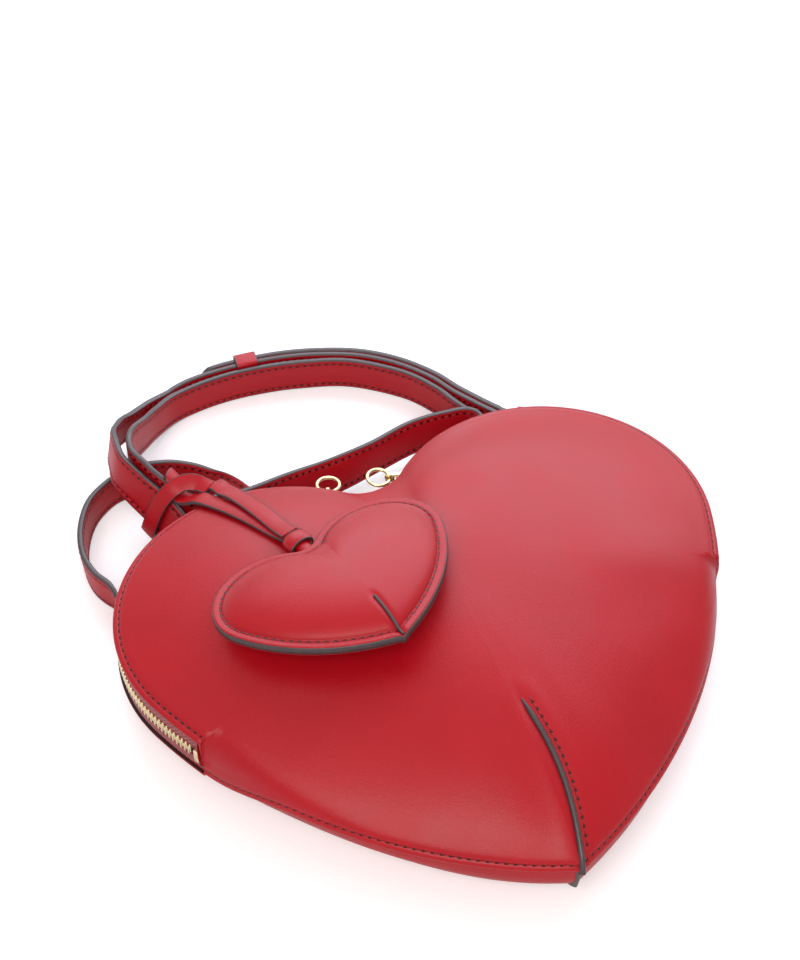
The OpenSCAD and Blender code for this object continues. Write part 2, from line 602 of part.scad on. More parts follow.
// Tabs sewn under the back panel hold the strap rings. Heights of the panel above a place:
function reach(p) = let (e = p / norm(p), c = [sign(p.x) * lobe_x, lobe_y])
    e * c + sqrt(pow(e * c, 2) - c * c + lobe_r * lobe_r);
function under_z(p) = let (r = reach(p)) back_z([p.x / norm(p) * r, p.y / norm(p) * r, 1], norm(p) / r);
ring_len = 8;
ring_room = 0.8;
ring_w = strap_w + 2 * ring_room + loop_wire;
tab_inset = 1;
tab_w = strap_w - 2 * tab_inset;
tab_end_y = 0.417 * half_w;
module strap_ring(p) {
    color("gold") translate([p.x, p.y, ring_z]) {
        for (y = [0, -ring_len]) translate([-ring_w / 2, y, 0]) rotate([0, 90, 0])
            cylinder(d = loop_wire, h = ring_w);
        for (x = [-ring_w / 2, ring_w / 2]) translate([x, 0, 0]) rotate([90, 0, 0])
            cylinder(d = loop_wire, h = ring_len);
        for (x = [-ring_w / 2, ring_w / 2], y = [0, -ring_len]) translate([x, y, 0])
            sphere(d = loop_wire);
    }
}
module left_strap_ring() strap_ring(left_ring_p);
module right_strap_ring() strap_ring(right_ring_p);

module tab(p) {
    bar_y = p.y - ring_len;
    tail = [for (i = [0:4]) let (y = mix(bar_y - fold_out, tab_end_y, i / 4),
        z = min([for (x = [-tab_w / 2, 0, tab_w / 2]) under_z([p.x + x, y])])) [y, z - 2 * soft_gap]];
    low = [for (q = tail) [q.x, max(q.y - fold_t, soft_gap)]];
    color("firebrick") translate([p.x - tab_w / 2, 0, 0]) rotate([90, 0, 90]) linear_extrude(tab_w)
        difference() {
            union() {
                translate([bar_y, ring_z]) circle(r = fold_out);
                polygon(concat([[bar_y, ring_z + fold_out]], tail, [for (i = [4:-1:0]) low[i]],
                    [[bar_y - fold_in, ring_z]]));
            }
            translate([bar_y, ring_z]) circle(r = fold_in);
        }
}
module left_tab() tab(left_ring_p);
module right_tab() tab(right_ring_p);

// Charm: a small padded heart that leans on the front panel
charm_seat = 2.5;
charm_shares_xy = [-0.313, -0.05];
charm_p = over(half_w * charm_shares_xy, crown_z + charm_seat + 0.85 * charm_under + 2 * charm_edge);
charm_turn = 13.1;
charm_lean_x = 10;
charm_lean_y = -3;
charm_mid_y = -0.186 * tip_y;
charm_sx = charm_w / (2 * (lobe_x + lobe_r));
charm_sy = charm_len / (lobe_y + lobe_r + tip_y);
charm_rim = [for (e = front_rim) [e.x * charm_sx, (e.y - charm_mid_y) * charm_sy]];
charm_shares = [0.35, 0.6, 0.78, 0.9, 0.965];
lip_share = 0.9;
module at_charm() translate(charm_p) rotate([-charm_lean_x, charm_lean_y, 0])
    rotate([0, 0, charm_turn]) children();
function turn_x(p, a) = [p.x, p.y * cos(a) - p.z * sin(a), p.y * sin(a) + p.z * cos(a)];
function turn_y(p, a) = [p.x * cos(a) + p.z * sin(a), p.y, p.z * cos(a) - p.x * sin(a)];
function turn_z(p, a) = [p.x * cos(a) - p.y * sin(a), p.x * sin(a) + p.y * cos(a), p.z];
function on_charm(p) = charm_p
    + turn_y(turn_x(turn_z(p, charm_turn), -charm_lean_x), charm_lean_y);
function charm_ring(s, z) = [for (e = charm_rim) over(e * s, z)];
// height of the padding at a share of the way to the flat, stitched rim
function pad_share(s) = s >= lip_share ? 0 : pow(1 - pow(s / lip_share, 2.4), 0.7);
function pad_rings(z0, rise) = concat([for (s = charm_shares) charm_ring(s, z0 + rise * pad_share(s))],
    [charm_ring(1, z0)]);
module charm_top_leather() {
    color("firebrick") at_charm() skin(pad_rings(0, charm_top), [0, 0, charm_top],
        pad_rings(-charm_edge, charm_top), [0, 0, charm_top - charm_edge]);
}
module charm_back_leather() {
    low = -charm_edge - soft_gap / 3;
    color("firebrick") at_charm() skin(pad_rings(low, -charm_under), [0, 0, low - charm_under],
        pad_rings(low - charm_edge, -charm_under), [0, 0, low - charm_edge - charm_under]);
}
pad_shares = [0.35, 0.6, 0.76];
module charm_padding() {
    gap = 2 * soft_gap;
    top = [for (s = pad_shares) charm_ring(s, charm_top * pad_share(s) - charm_edge - gap)];
    low_z = -charm_edge - soft_gap / 3 + gap;
    bottom = [for (s = pad_shares) charm_ring(s, low_z - charm_under * pad_share(s))];
    color("ivory") at_charm() skin(top, [0, 0, charm_top - charm_edge - gap], bottom,
        [0, 0, low_z - charm_under]);
}
charm_tip = charm_rim[tip_i];
module charm_dart_welt() {
    w = dart_w / 3;
    h = dart_h / 2;
    color("dimgray") at_charm() sweep([for (s = [0.965, 0.9, 0.78, 0.6])
        let (p = over(charm_tip * s, charm_top * pad_share(s) + soft_gap))
        [p - [w, 0, 0], p + [w, 0, 0], p + [w / 2, 0, h], p + [-w / 2, 0, h]]]);
}

// Strip: from the knot over the bag's edge, round both runs of the strap and back. Places on the
// loop are given across the strap's face, along its width and along its run, from the middle of
// the outer run, in shares of the strap's width.
hitch_i = 22 * route_steps + 1;
hitch_run = run(short_way, hitch_i);
function hitch(f, w, t) = mid_of(short_way, hitch_i) + strap_w * (f * face_dir(short_way, hitch_i)
    + w * across(short_way, hitch_i) + t * hitch_run);
loop_shares = [[-0.1, 0.88, 0.1], [-0.32, 0.9, 0.2], [-0.55, 0.6, 0.25], [-0.7, 0, 0.14],
    [-0.6, -0.42, -0.04],
    [-0.25, -0.66, -0.2], [0.08, -0.68, -0.3], [0.23, -0.36, -0.26], [0.27, 0.06, -0.16],
    [0.27, 0.45, -0.1], [0.2, 0.85, -0.11], [0, 1.12, -0.2], [-0.14, 1.3, -0.42]];
low_end = hitch(0.05, 0.77, -0.33);
high_end = hitch(-0.2, 1.44, -0.74);
knot_len = 8.5;
knot_side = 2.2;
knot_w = strip_w + 2 * knot_side;
knot_bulk = 3.6;
knot_t = 2 * strip_t + knot_bulk;
knot_near = (notch_y - charm_mid_y) * charm_sy + knot_side;
knot_z = -charm_edge + 3 * soft_gap;
knot_far = on_charm([0, knot_near + knot_len + 4 * soft_gap, knot_z]);
strip_side = [0.92, 0.39];
strip_rise = strip_t + 2 * soft_gap;
// Height of the front panel's surface above a place, and of the free edge just past the outline
past_share = 1.05;
function top_z(p) = let (r = reach(p), s = norm(p) / r) s > past_share ? 0
    : front_z([p.x / norm(p) * r, p.y / norm(p) * r, 1], min(1, s));
// Place on a tail of the strip, a share of the way from the knot; the tail in the upper layer
// comes from over the strap and the lower one goes in beneath
strip_h = strip_side * strip_w / 2;
function tail(t, layer) = let (e = layer > 0 ? high_end : low_end,
    a = mix([knot_far.x, knot_far.y], [e.x, e.y], t),
    rest = max(top_z(a - strip_h), top_z(a), top_z(a + strip_h)) + strip_t)
    over(a, max(rest, mix(knot_far.z - strip_rise / 2, e.z, t)) + layer * strip_rise);
function tail_side(t, layer) = let (p = tail(t, layer), q = [p.x, p.y])
    over(strip_h, (top_z(q + strip_h) - top_z(q - strip_h)) / 2 * (t < 0.7 && t > 0 ? 1 : 0));
tail_shares = [0, 0.12, 0.26, 0.4, 0.54, 0.68, 0.8, 0.9];
// Each point of the strip: its middle and the direction of its width
strip_path = concat(
    [for (t = tail_shares) [tail(t, 0), tail_side(t, 0)]],
    [[low_end, over(strip_h, 0) + hitch_run]],
    [for (q = loop_shares) [hitch(q.x, q.y, q.z), hitch_run]],
    [[high_end, over(strip_h, 0) + hitch_run]],
    [for (k = [len(tail_shares) - 1:-1:0]) let (t = tail_shares[k]) [tail(t, 1), tail_side(t, 1)]]);
module charm_strip() {
    n = len(strip_path);
    color("firebrick") sweep([for (i = [0:n - 1]) let (
        p = strip_path[i][0], v = strip_path[i][1] / norm(strip_path[i][1]) * strip_w / 2,
        t = strip_path[min(i + 1, n - 1)][0] - strip_path[max(i - 1, 0)][0],
        c = cross(t, v), f = c / norm(c) * strip_t / 2)
        [p + v - f, p - v - f, p - v + f, p + v + f]]);
}
module charm_knot() {
    color("firebrick") at_charm() translate([-knot_w / 2, knot_near, knot_z - knot_t / 2])
        cube([knot_w, knot_len, knot_t]);
}

front_panel();
back_panel();
front_dart_welt();
back_dart_welt();
front_lining();
back_lining();
slip_pocket();
zip_tape_front();
zip_tape_back();
zip_teeth_front();
zip_teeth_back();
zip_end_stops();
left_slider();
right_slider();
left_pull();
right_pull();
left_pull_ring();
right_pull_ring();
left_tab();
right_tab();
left_strap_ring();
right_strap_ring();
strap_short();
strap_long();
buckle_frame();
buckle_prong();
fixed_keeper();
sliding_keeper();
charm_top_leather();
charm_back_leather();
charm_padding();
charm_dart_welt();
charm_strip();
charm_knot();
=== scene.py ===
# Heart-shaped red leather shoulder bag lying on its back, its strap coiled behind it and a
# padded heart charm tied to the strap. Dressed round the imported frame, in the frame's own axes.
import math

import bpy
import numpy as np
from mathutils import Matrix, Vector


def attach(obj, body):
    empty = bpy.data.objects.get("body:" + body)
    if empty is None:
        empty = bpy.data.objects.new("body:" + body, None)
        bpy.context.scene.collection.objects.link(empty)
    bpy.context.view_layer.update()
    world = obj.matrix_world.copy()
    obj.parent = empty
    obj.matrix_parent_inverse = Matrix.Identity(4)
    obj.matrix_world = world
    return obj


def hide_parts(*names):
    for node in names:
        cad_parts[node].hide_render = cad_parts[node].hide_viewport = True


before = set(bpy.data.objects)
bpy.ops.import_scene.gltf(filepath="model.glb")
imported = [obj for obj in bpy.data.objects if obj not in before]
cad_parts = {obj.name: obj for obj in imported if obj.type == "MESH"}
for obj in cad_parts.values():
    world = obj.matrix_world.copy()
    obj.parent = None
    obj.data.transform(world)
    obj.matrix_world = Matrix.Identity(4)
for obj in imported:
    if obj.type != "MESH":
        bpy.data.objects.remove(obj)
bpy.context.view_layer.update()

# Camera
# It stands in front of the bag, a little to the left, and looks down at it. Places and sizes in
# this script are in millimetres; MM turns them into Blender's metres where a thing is made.
MM = 0.001
camera_lens = 71.58
camera_place = Vector((-213.35, -437.08, 606.96)) * MM
camera_aim = Vector((15.56, 69.18, 26.0)) * MM

camera = bpy.data.objects.new("camera", bpy.data.cameras.new("camera"))
bpy.context.scene.collection.objects.link(camera)
camera.data.lens = camera_lens
camera.location = camera_place
camera.rotation_mode = "QUATERNION"
camera.rotation_quaternion = (camera_aim - camera_place).to_track_quat("-Z", "Y")
bpy.context.scene.camera = camera

# Floor, backdrop and lamps
# A white table and a white surround, with a cool softbox behind the bag to the right that gives
# the leather its sheen, a wide one overhead, and one in front to the left.
floor_size = 1800
floor_drop = 0.1
floor_white = "#F4F4F6"
floor_glow = 0.3
surround_light = 0.38
lamps = {
    "back_softbox": ((430, 640, 640), (20, 20, 20), (1300, 800), 11.5, "#EAEFFF"),
    "top_softbox": ((-200, 60, 1200), (0, 20, 20), (1600, 1600), 2.4, "#FFFFFF"),
    "front_softbox": ((-420, -620, 820), (0, 0, 20), (900, 500), 7.0, "#FFF8F2"),
}


def colour(code):
    """Linear RGBA of an sRGB hex colour."""
    shares = [int(code[i:i + 2], 16) / 255 for i in (1, 3, 5)]
    return [s / 12.92 if s <= 0.04045 else ((s + 0.055) / 1.055) ** 2.4 for s in shares] + [1]


def add_node(tree, kind, settings=None, inputs=None):
    """Adds a node; an input is a value or another node's output."""
    made = tree.nodes.new(kind)
    for key, value in (settings or {}).items():
        setattr(made, key, value)
    for key, value in (inputs or {}).items():
        if isinstance(value, bpy.types.NodeSocket):
            tree.links.new(value, made.inputs[key])
        else:
            made.inputs[key].default_value = value
    return made


def unlit_tree(owner):
    """An owner's node tree, emptied."""
    owner.use_nodes = True
    owner.node_tree.nodes.clear()
    return owner.node_tree


bpy.context.scene.view_settings.view_transform = "Standard"
world = bpy.data.worlds.new("white_surround")
bpy.context.scene.world = world
tree = unlit_tree(world)
path = add_node(tree, "ShaderNodeLightPath")
seen = add_node(tree, "ShaderNodeMath", {"operation": "MAXIMUM"},
                {0: path.outputs["Is Camera Ray"], 1: path.outputs["Is Glossy Ray"]})
seen = add_node(tree, "ShaderNodeMath", {"operation": "MAXIMUM"},
                {0: seen.outputs[0], 1: path.outputs["Is Transmission Ray"]})
strength = add_node(tree, "ShaderNodeMapRange", inputs={
    "Value": seen.outputs[0], "To Min": surround_light, "To Max": 1.0})
sky = add_node(tree, "ShaderNodeBackground", inputs={
    "Color": (1, 1, 1, 1), "Strength": strength.outputs["Result"]})
add_node(tree, "ShaderNodeOutputWorld", inputs={"Surface": sky.outputs[0]})

bpy.ops.object.select_all(action="DESELECT")
bpy.ops.mesh.primitive_plane_add(size=floor_size * MM, location=(0, 0, -floor_drop * MM))
floor = bpy.context.object
floor.name = "floor"
paper = bpy.data.materials.new("matt_white_paper")
tree = unlit_tree(paper)
matt = add_node(tree, "ShaderNodeBsdfDiffuse", inputs={"Color": colour(floor_white)})
path = add_node(tree, "ShaderNodeLightPath")
glow = add_node(tree, "ShaderNodeMath", {"operation": "MULTIPLY"},
                {0: path.outputs["Is Camera Ray"], 1: floor_glow})
lift = add_node(tree, "ShaderNodeEmission", inputs={"Strength": glow.outputs[0]})
both = add_node(tree, "ShaderNodeAddShader", inputs={0: matt.outputs[0], 1: lift.outputs[0]})
add_node(tree, "ShaderNodeOutputMaterial", inputs={"Surface": both.outputs[0]})
floor.data.materials.append(paper)

for name, (place, aim, size, watts, tint) in lamps.items():
    bpy.ops.object.light_add(type="AREA", location=Vector(place) * MM)
    lamp = bpy.context.object
    lamp.name = name
    lamp.data.shape = "RECTANGLE"
    lamp.data.size, lamp.data.size_y = size[0] * MM, size[1] * MM
    lamp.data.energy = watts
    lamp.data.color = colour(tint)[:3]
    lamp.rotation_mode = "QUATERNION"
    lamp.rotation_quaternion = (Vector(aim) - Vector(place)).to_track_quat("-Z", "Y")

# Front panel
# One skin of crimson calf leather, crowned over the bag's filling. Its cut edge is painted dark
# along the zip, and below the zip it laps over the back panel and is sewn down to it.
# The outline's lobes, the hollow between them, the tip, and the zip's run on past each lobe
lobe_r, lobe_x, lobe_y = 66.4, 58.4, 15.6
notch_r, tip_y, tip_x = 22.1, 130.6, -4.0
side_angle = 20.0
zip_tail, close_len = 26.0, 1.2
# Heights of the crown and of the zip's middle, the gap along the zip, and the leather
crown_z, seam_z, zip_gap = 57.0, 26.0, 18.8
panel_t, edge_t = 1.8, 1.4
# How the crown rounds down to its edge, along the zip and at the tip
front_round, front_zip, front_tip = 2.2, 0.9, 0.62
# How steep the sewn wall is and where it starts and ends along Y, and the seam's own heights
wall_share, wall_start, wall_end = 90.0, -34.0, -112.0
seam_end_z, seam_tip_z, seam_rise = 17.4, 24.0, 34.0
stitch_in, stitch_pitch = 2.9, 3.3
soft_gap = 0.3

half_w = lobe_x + lobe_r
lobe_c = np.array([lobe_x, lobe_y])
to_tip = lobe_c + [0, tip_y]
side_u = np.array([math.cos(math.radians(-side_angle)), math.sin(math.radians(-side_angle))])
side_r = (to_tip @ to_tip + 2 * lobe_r * (to_tip @ side_u) + lobe_r ** 2) / (
    2 * (to_tip @ side_u + lobe_r))
side_c = lobe_c - (side_r - lobe_r) * side_u
notch_c = np.array([0, lobe_y + math.sqrt((lobe_r + notch_r) ** 2 - lobe_x ** 2)])
notch_y = notch_c[1] - notch_r
notch_a = math.degrees(math.atan2(notch_c[1] - lobe_c[1], notch_c[0] - lobe_c[0]))
zip_a = -side_angle - math.degrees(zip_tail / side_r)
low_a = zip_a - math.degrees(close_len / side_r)
tip_a = -math.degrees(math.acos(-side_c[0] / side_r))


def arc(centre, radius, first, last, steps, pull=1.0):
    """Points on an arc, without its last point; pull over 1 crowds them towards the end."""
    share = 1 - (1 - np.arange(steps) / steps) ** pull
    turn = np.radians(first + (last - first) * share)
    return centre + radius * np.stack([np.cos(turn), np.sin(turn)], 1)


def unit(v):
    """Vectors along the last axis, brought to length 1."""
    return v / np.maximum(np.linalg.norm(v, axis=-1, keepdims=True), 1e-9)


def heart():
    """The bag's outline, anticlockwise from the notch, with 1 along the zip and 0 on the seam."""
    zip_part = np.vstack([
        arc(notch_c, notch_r, 270, notch_a + 180, 10),
        arc(lobe_c, lobe_r, notch_a, -side_angle, 90),
        arc(side_c, side_r, -side_angle, zip_a, 14)])
    step = arc(side_c, side_r, zip_a, low_a, 5)
    low = arc(side_c, side_r, low_a, tip_a, 60, pull=1.5)
    right = np.vstack([zip_part, step, low, [[0, -tip_y]]])
    is_open = np.concatenate([np.ones(len(zip_part)), 1 - np.arange(5) / 5, np.zeros(len(low) + 1)])
    left = right * [-1, 1]
    rim = np.vstack([left, right[-2:0:-1]])
    rim[:, 0] += tip_x * np.clip(-rim[:, 1] / tip_y, 0, 1) ** 3
    return rim, np.concatenate([is_open, is_open[-2:0:-1]]), len(right) - 1


def outward(rim, corner):
    """Outward direction at each point of an anticlockwise outline that is sharp at one corner."""
    ahead = unit(np.roll(rim, -1, 0) - rim)
    along = unit(ahead + np.roll(ahead, 1, 0))
    along[corner] = ahead[corner]
    return np.stack([along[:, 1], -along[:, 0]], 1)


def inset(rim, corner, distance):
    """The outline moved inwards by a distance, towards the middle of the heart."""
    reach = np.sum(rim * outward(rim, corner), 1)
    return rim * (1 - distance / reach)[:, None]


rim, rim_open, tip_i = heart()
rim_angle = np.arctan2(rim[:, 1], rim[:, 0])
tip_angle, tip_spread = rim_angle[tip_i], math.radians(16)


def rim_under(spots, reach):
    """Outline point beyond each spot, how open the zip is there, and the share of the way."""
    turn = np.arctan2(spots[..., 1], spots[..., 0])
    size = np.hypot(reach[:, 0], reach[:, 1])
    far = np.interp(turn, rim_angle, size, period=2 * np.pi)
    # away from its edge the leather bridges the corner at the tip in one soft curve
    off = (turn - tip_angle + np.pi) % (2 * np.pi) - np.pi
    corner = np.exp(-(off / tip_spread) ** 2)
    sides = [np.interp(turn + k * tip_spread / 2, rim_angle, size, period=2 * np.pi)
             for k in (-2, -1, 1, 2)]
    inner = (1 - np.clip(np.hypot(spots[..., 0], spots[..., 1]) / far, 0, 1) ** 6) * corner
    far = far * (1 - inner) + (far + sum(sides)) / 5 * inner
    height = np.interp(turn, rim_angle, reach[:, 1], period=2 * np.pi)
    is_open = np.interp(turn, rim_angle, rim_open, period=2 * np.pi)
    return height, is_open, np.clip(np.hypot(spots[..., 0], spots[..., 1]) / far, 0, 1)


def eased(v):
    """A share from 0 to 1 that starts and ends softly."""
    return v * v * (3 - 2 * v)


def parting(height, is_open, share):
    """Share of the zip's gap: full beside the zip, and lost in a steep wall where it is sewn."""
    wide = eased(np.clip((height - wall_end) / (wall_start - wall_end), 0, 1))
    return wide + (is_open - wide) * share ** wall_share


def seam_height(height):
    """Height of the sewn seam, lowest where the zip ends and rising towards the tip."""
    return seam_end_z + (seam_tip_z - seam_end_z) * eased(
        np.clip((wall_start - height) / seam_rise, 0, 1))


def front_height(spots):
    """Height of the front panel's outer face above each spot."""
    height, is_open, share = rim_under(spots, rim)
    seam = seam_height(height)
    low = seam + parting(height, is_open, share) * (seam_z + zip_gap / 2 - seam)
    power = front_zip + (front_tip - front_zip) * np.clip(-height / tip_y, 0, 1) ** 2
    return low + (crown_z - low) * (1 - share ** front_round) ** power


# The dart: the two sides of a slit, pinched together and sewn, from the tip inwards
dart_len, dart_w, dart_h = 60.0, 2.4, 1.6
dart_drift, dart_bow = 5.4, 3.4
pinch_depth, pinch_width = 0.55, 1.7
puff_rise, puff_off, puff_width = 0.35, 5.5, 3.0
dart_shares = np.linspace(1, 1 - dart_len / tip_y, 24)
dart_line = rim[tip_i] * dart_shares[:, None]
dart_run = (1 - dart_shares) / (dart_len / tip_y)
dart_line[:, 0] += dart_drift * dart_run * dart_shares + dart_bow * np.sin(np.pi * dart_run)


def from_dart(spots):
    """Distance of each spot from the dart's line."""
    a, b = dart_line[:-1], dart_line[1:]
    ab = b - a
    gap = spots[..., None, :] - a
    t = np.clip(np.sum(gap * ab, -1) / np.sum(ab * ab, -1), 0, 1)
    return np.min(np.linalg.norm(gap - t[..., None] * ab, axis=-1), -1)


# Soft dents and swellings of the worn-in leather: place, radii along X and Y, height
front_swells = [
    ((2, 34), (26, 18), -1.8), ((-14, -58), (34, 26), 0.7), ((62, -46), (20, 16), -0.9),
    ((80, -22), (18, 14), 0.6), ((30, -20), (40, 30), 0.5), ((-70, 10), (26, 30), 0.5),
    ((22, -92), (12, 18), 0.5), ((-24, -88), (16, 14), 0.5)]


def front_look(spots):
    """Height of the front panel with its dents and the pinch of its dart."""
    z = front_height(spots)
    for place, radii, rise in front_swells:
        z = z + rise * np.exp(-np.sum(((spots - place) / radii) ** 2, -1))
    gap = from_dart(spots)
    pinch = pinch_depth * np.exp(-(gap / pinch_width) ** 2)
    return z - pinch + puff_rise * np.exp(-((gap - puff_off) / puff_width) ** 2)


# Distances of a panel's rings from its cut edge, close together at the edge and the stitches
edge_steps = np.array([
    0, 0.3, 0.7, 1.2, 1.8, 2.3, 2.6, stitch_in, 3.2, 3.5, 4.0, 4.8, 6.0, 7.8, 10.5, 14])
stitch_row = list(edge_steps).index(stitch_in)
middle_steps = np.linspace(1, 0, 30)[1:]
fine_steps = 1 - np.concatenate([np.linspace(0, 0.03, 40), np.linspace(0.03, 0.25, 70)[1:]])


def surface_normals(rows):
    """Outer normals of a closed sheet's rows, which run anticlockwise from the edge inwards."""
    body = rows[:, :-1]
    along = np.roll(body, -1, 1) - np.roll(body, 1, 1)
    inward = np.gradient(body, axis=0)
    return unit(np.cross(along, inward))


def panel_rows(outline, look, sewn):
    """Rings over a panel from its cut edge to its middle, spaced along the leather. sewn is how
    strongly each point of the outline shows the sunk row of stitches."""
    spots = outline * fine_steps[:, None, None]
    skin = np.dstack([spots, look(spots)])
    lengths = np.linalg.norm(np.diff(skin, axis=0), axis=2)
    run = np.vstack([np.zeros(len(outline)), np.cumsum(lengths, 0)])
    shares = np.stack(
        [np.interp(edge_steps, run[:, k], fine_steps) for k in range(len(outline))], 1)
    shares = np.vstack([shares, shares[-1] * middle_steps[:, None]])
    rings = outline * shares[..., None]
    rows = np.dstack([rings, look(rings)])
    rows = np.concatenate([rows, rows[:, :1]], 1)
    # the edge is rounded over, the stitches sink in a groove, and the leather swells beside it
    rounded = -0.5 * np.clip(1 - edge_steps / 0.9, 0, 1) ** 2
    groove = -0.4 * np.exp(-((edge_steps - stitch_in) / 0.6) ** 2)
    swell = 0.2 * np.exp(-((edge_steps - stitch_in - 2.4) / 1.5) ** 2)
    sunk = rounded + groove + swell
    rows[:len(sunk), :-1] += surface_normals(rows)[:len(sunk)] * (sunk[:, None] * sewn)[..., None]
    rows[:, -1] = rows[:, 0]
    return rows


def lay(name, rows, pattern=None, flip=False, weld=0.0005):
    """A sheet laid over rows of points. pattern gives each point's place along and across."""
    rows = np.asarray(rows, float)
    bpy.ops.object.select_all(action="DESELECT")
    bpy.ops.mesh.primitive_grid_add(
        x_subdivisions=rows.shape[1] - 1, y_subdivisions=rows.shape[0] - 1, size=1)
    piece = bpy.context.object
    piece.name = piece.data.name = name
    piece.data.vertices.foreach_set("co", (rows * MM).ravel())
    if pattern is not None:
        run = piece.data.attributes.new("run", "FLOAT_VECTOR", "POINT")
        run.data.foreach_set("vector", np.dstack([pattern, np.zeros(rows.shape[:2])]).ravel())
    bpy.ops.object.mode_set(mode="EDIT")
    bpy.ops.mesh.select_all(action="SELECT")
    bpy.ops.mesh.remove_doubles(threshold=weld * MM)
    if flip:
        bpy.ops.mesh.flip_normals()
    bpy.ops.object.mode_set(mode="OBJECT")
    bpy.ops.object.shade_smooth()
    return piece


def apply_modifier(piece, kind, **settings):
    """Adds a modifier with these settings and applies it."""
    bpy.ops.object.select_all(action="DESELECT")
    piece.select_set(True)
    bpy.context.view_layer.objects.active = piece
    modifier = piece.modifiers.new(kind.lower(), kind)
    for key, value in settings.items():
        setattr(modifier, key, value)
    bpy.ops.object.modifier_apply(modifier=modifier.name)


def place(piece, body, slot, material, *nodes):
    """Gives a piece its finish and its body, and hides the CAD nodes that it stands for. slot is
    not used.
    """
    piece.data.materials.clear()
    piece.data.materials.append(material)
    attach(piece, body)
    if nodes:
        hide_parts(*nodes)
    return piece


def new_material(name):
    """A material with an empty tree, its Principled shader and its output."""
    material = bpy.data.materials.new(name)
    tree = unlit_tree(material)
    shader = add_node(tree, "ShaderNodeBsdfPrincipled")
    add_node(tree, "ShaderNodeOutputMaterial", inputs={"Surface": shader.outputs[0]})
    return material, tree, shader


# Calf leather, drum-dyed crimson with a satin topcoat: a soft broad gloss, a fine pore grain of
# about 0.9 mm, and a faint unevenness of colour over 30 mm
leather_red = "#B00A18"
leather_deep = "#A00616"
leather_gloss = (0.33, 0.42)
leather_ior = 1.36


def calf_leather(name, light=leather_red, deep=leather_deep, grain=0.9, cloud=30.0):
    """Calf leather in two close tones, with its grain and its clouds at sizes in millimetres."""
    material, tree, shader = new_material(name)
    where = add_node(tree, "ShaderNodeTexCoord").outputs["Object"]
    clouds = add_node(tree, "ShaderNodeTexNoise", inputs={
        "Vector": where, "Scale": 1 / (cloud * MM), "Detail": 3.0, "Roughness": 0.55})
    tone = add_node(tree, "ShaderNodeMix", {"data_type": "RGBA"}, {
        "Factor": clouds.outputs[0], 6: colour(deep), 7: colour(light)})
    tree.links.new(tone.outputs[2], shader.inputs["Base Color"])
    gloss = add_node(tree, "ShaderNodeMapRange", inputs={
        "Value": clouds.outputs[0], "From Min": 0.3, "From Max": 0.7,
        "To Min": leather_gloss[0], "To Max": leather_gloss[1]})
    tree.links.new(gloss.outputs["Result"], shader.inputs["Roughness"])
    pores = add_node(tree, "ShaderNodeTexVoronoi", {"feature": "DISTANCE_TO_EDGE"}, {
        "Vector": where, "Scale": 1 / (grain * MM)})
    fine = add_node(tree, "ShaderNodeTexNoise", inputs={
        "Vector": where, "Scale": 2 / (grain * MM), "Detail": 2.0})
    rise = add_node(tree, "ShaderNodeMath", {"operation": "MULTIPLY_ADD"}, {
        0: fine.outputs[0], 1: 0.6, 2: pores.outputs["Distance"]})
    bump = add_node(tree, "ShaderNodeBump", inputs={
        "Strength": 0.6, "Distance": 0.1 * MM, "Height": rise.outputs[0]})
    tree.links.new(bump.outputs[0], shader.inputs["Normal"])
    shader.inputs["IOR"].default_value = leather_ior
    return material


leather = calf_leather("satin_calf_leather")

front_rows = panel_rows(rim, front_look, np.ones(len(rim)))
front_panel = lay("front_panel_leather", front_rows)
apply_modifier(front_panel, "SOLIDIFY", thickness=panel_t * MM, offset=-1)
place(front_panel, "bag", "leather", leather, "front_panel")

# Painted edges
# Every cut edge of the leather is sealed with several coats of dark brown-grey edge paint, which
# stand on it as a low rounded bead.
paint_dark, paint_pale = "#2E2424", "#463638"
bead_rise = 0.35


def edge_paint_finish():
    """Acrylic edge paint, dark and half glossy, with a slight unevenness from the brush."""
    material, tree, shader = new_material("dark_edge_paint")
    where = add_node(tree, "ShaderNodeTexCoord").outputs["Object"]
    brush = add_node(tree, "ShaderNodeTexNoise", inputs={
        "Vector": where, "Scale": 1 / (3.0 * MM), "Detail": 2.0})
    tone = add_node(tree, "ShaderNodeMix", {"data_type": "RGBA"}, {
        "Factor": brush.outputs[0], 6: colour(paint_dark), 7: colour(paint_pale)})
    tree.links.new(tone.outputs[2], shader.inputs["Base Color"])
    bump = add_node(tree, "ShaderNodeBump", inputs={
        "Strength": 0.3, "Distance": 0.1 * MM, "Height": brush.outputs[0]})
    tree.links.new(bump.outputs[0], shader.inputs["Normal"])
    shader.inputs["Roughness"].default_value = 0.34
    shader.inputs["IOR"].default_value = 1.5
    return material


edge_paint = edge_paint_finish()


def way_along(path, closed=False):
    """Direction of travel at each point of a path."""
    if closed:
        return unit(np.roll(path, -1, 0) - np.roll(path, 1, 0))
    return unit(np.gradient(path, axis=0))


def loft(name, path, side, out, section, closed=False, pattern=None):
    """A closed section of (side, out) sizes carried along a path, with its ends closed."""
    section = np.asarray(section, float)
    if section.ndim == 2:
        section = np.repeat(section[None], len(path), 0)
    ring = np.concatenate([section, section[:, :1]], 1)
    rows = path[:, None] + side[:, None] * ring[..., :1] + out[:, None] * ring[..., 1:]
    if closed:
        rows = np.vstack([rows, rows[:1]])
    piece = lay(name, rows, pattern)
    bpy.ops.object.mode_set(mode="EDIT")
    bpy.ops.mesh.select_all(action="SELECT")
    if not closed:
        bpy.ops.mesh.fill_holes(sides=0)
    bpy.ops.mesh.normals_make_consistent(inside=False)
    bpy.ops.object.mode_set(mode="OBJECT")
    bpy.ops.object.shade_smooth_by_angle(angle=math.radians(50))
    return piece


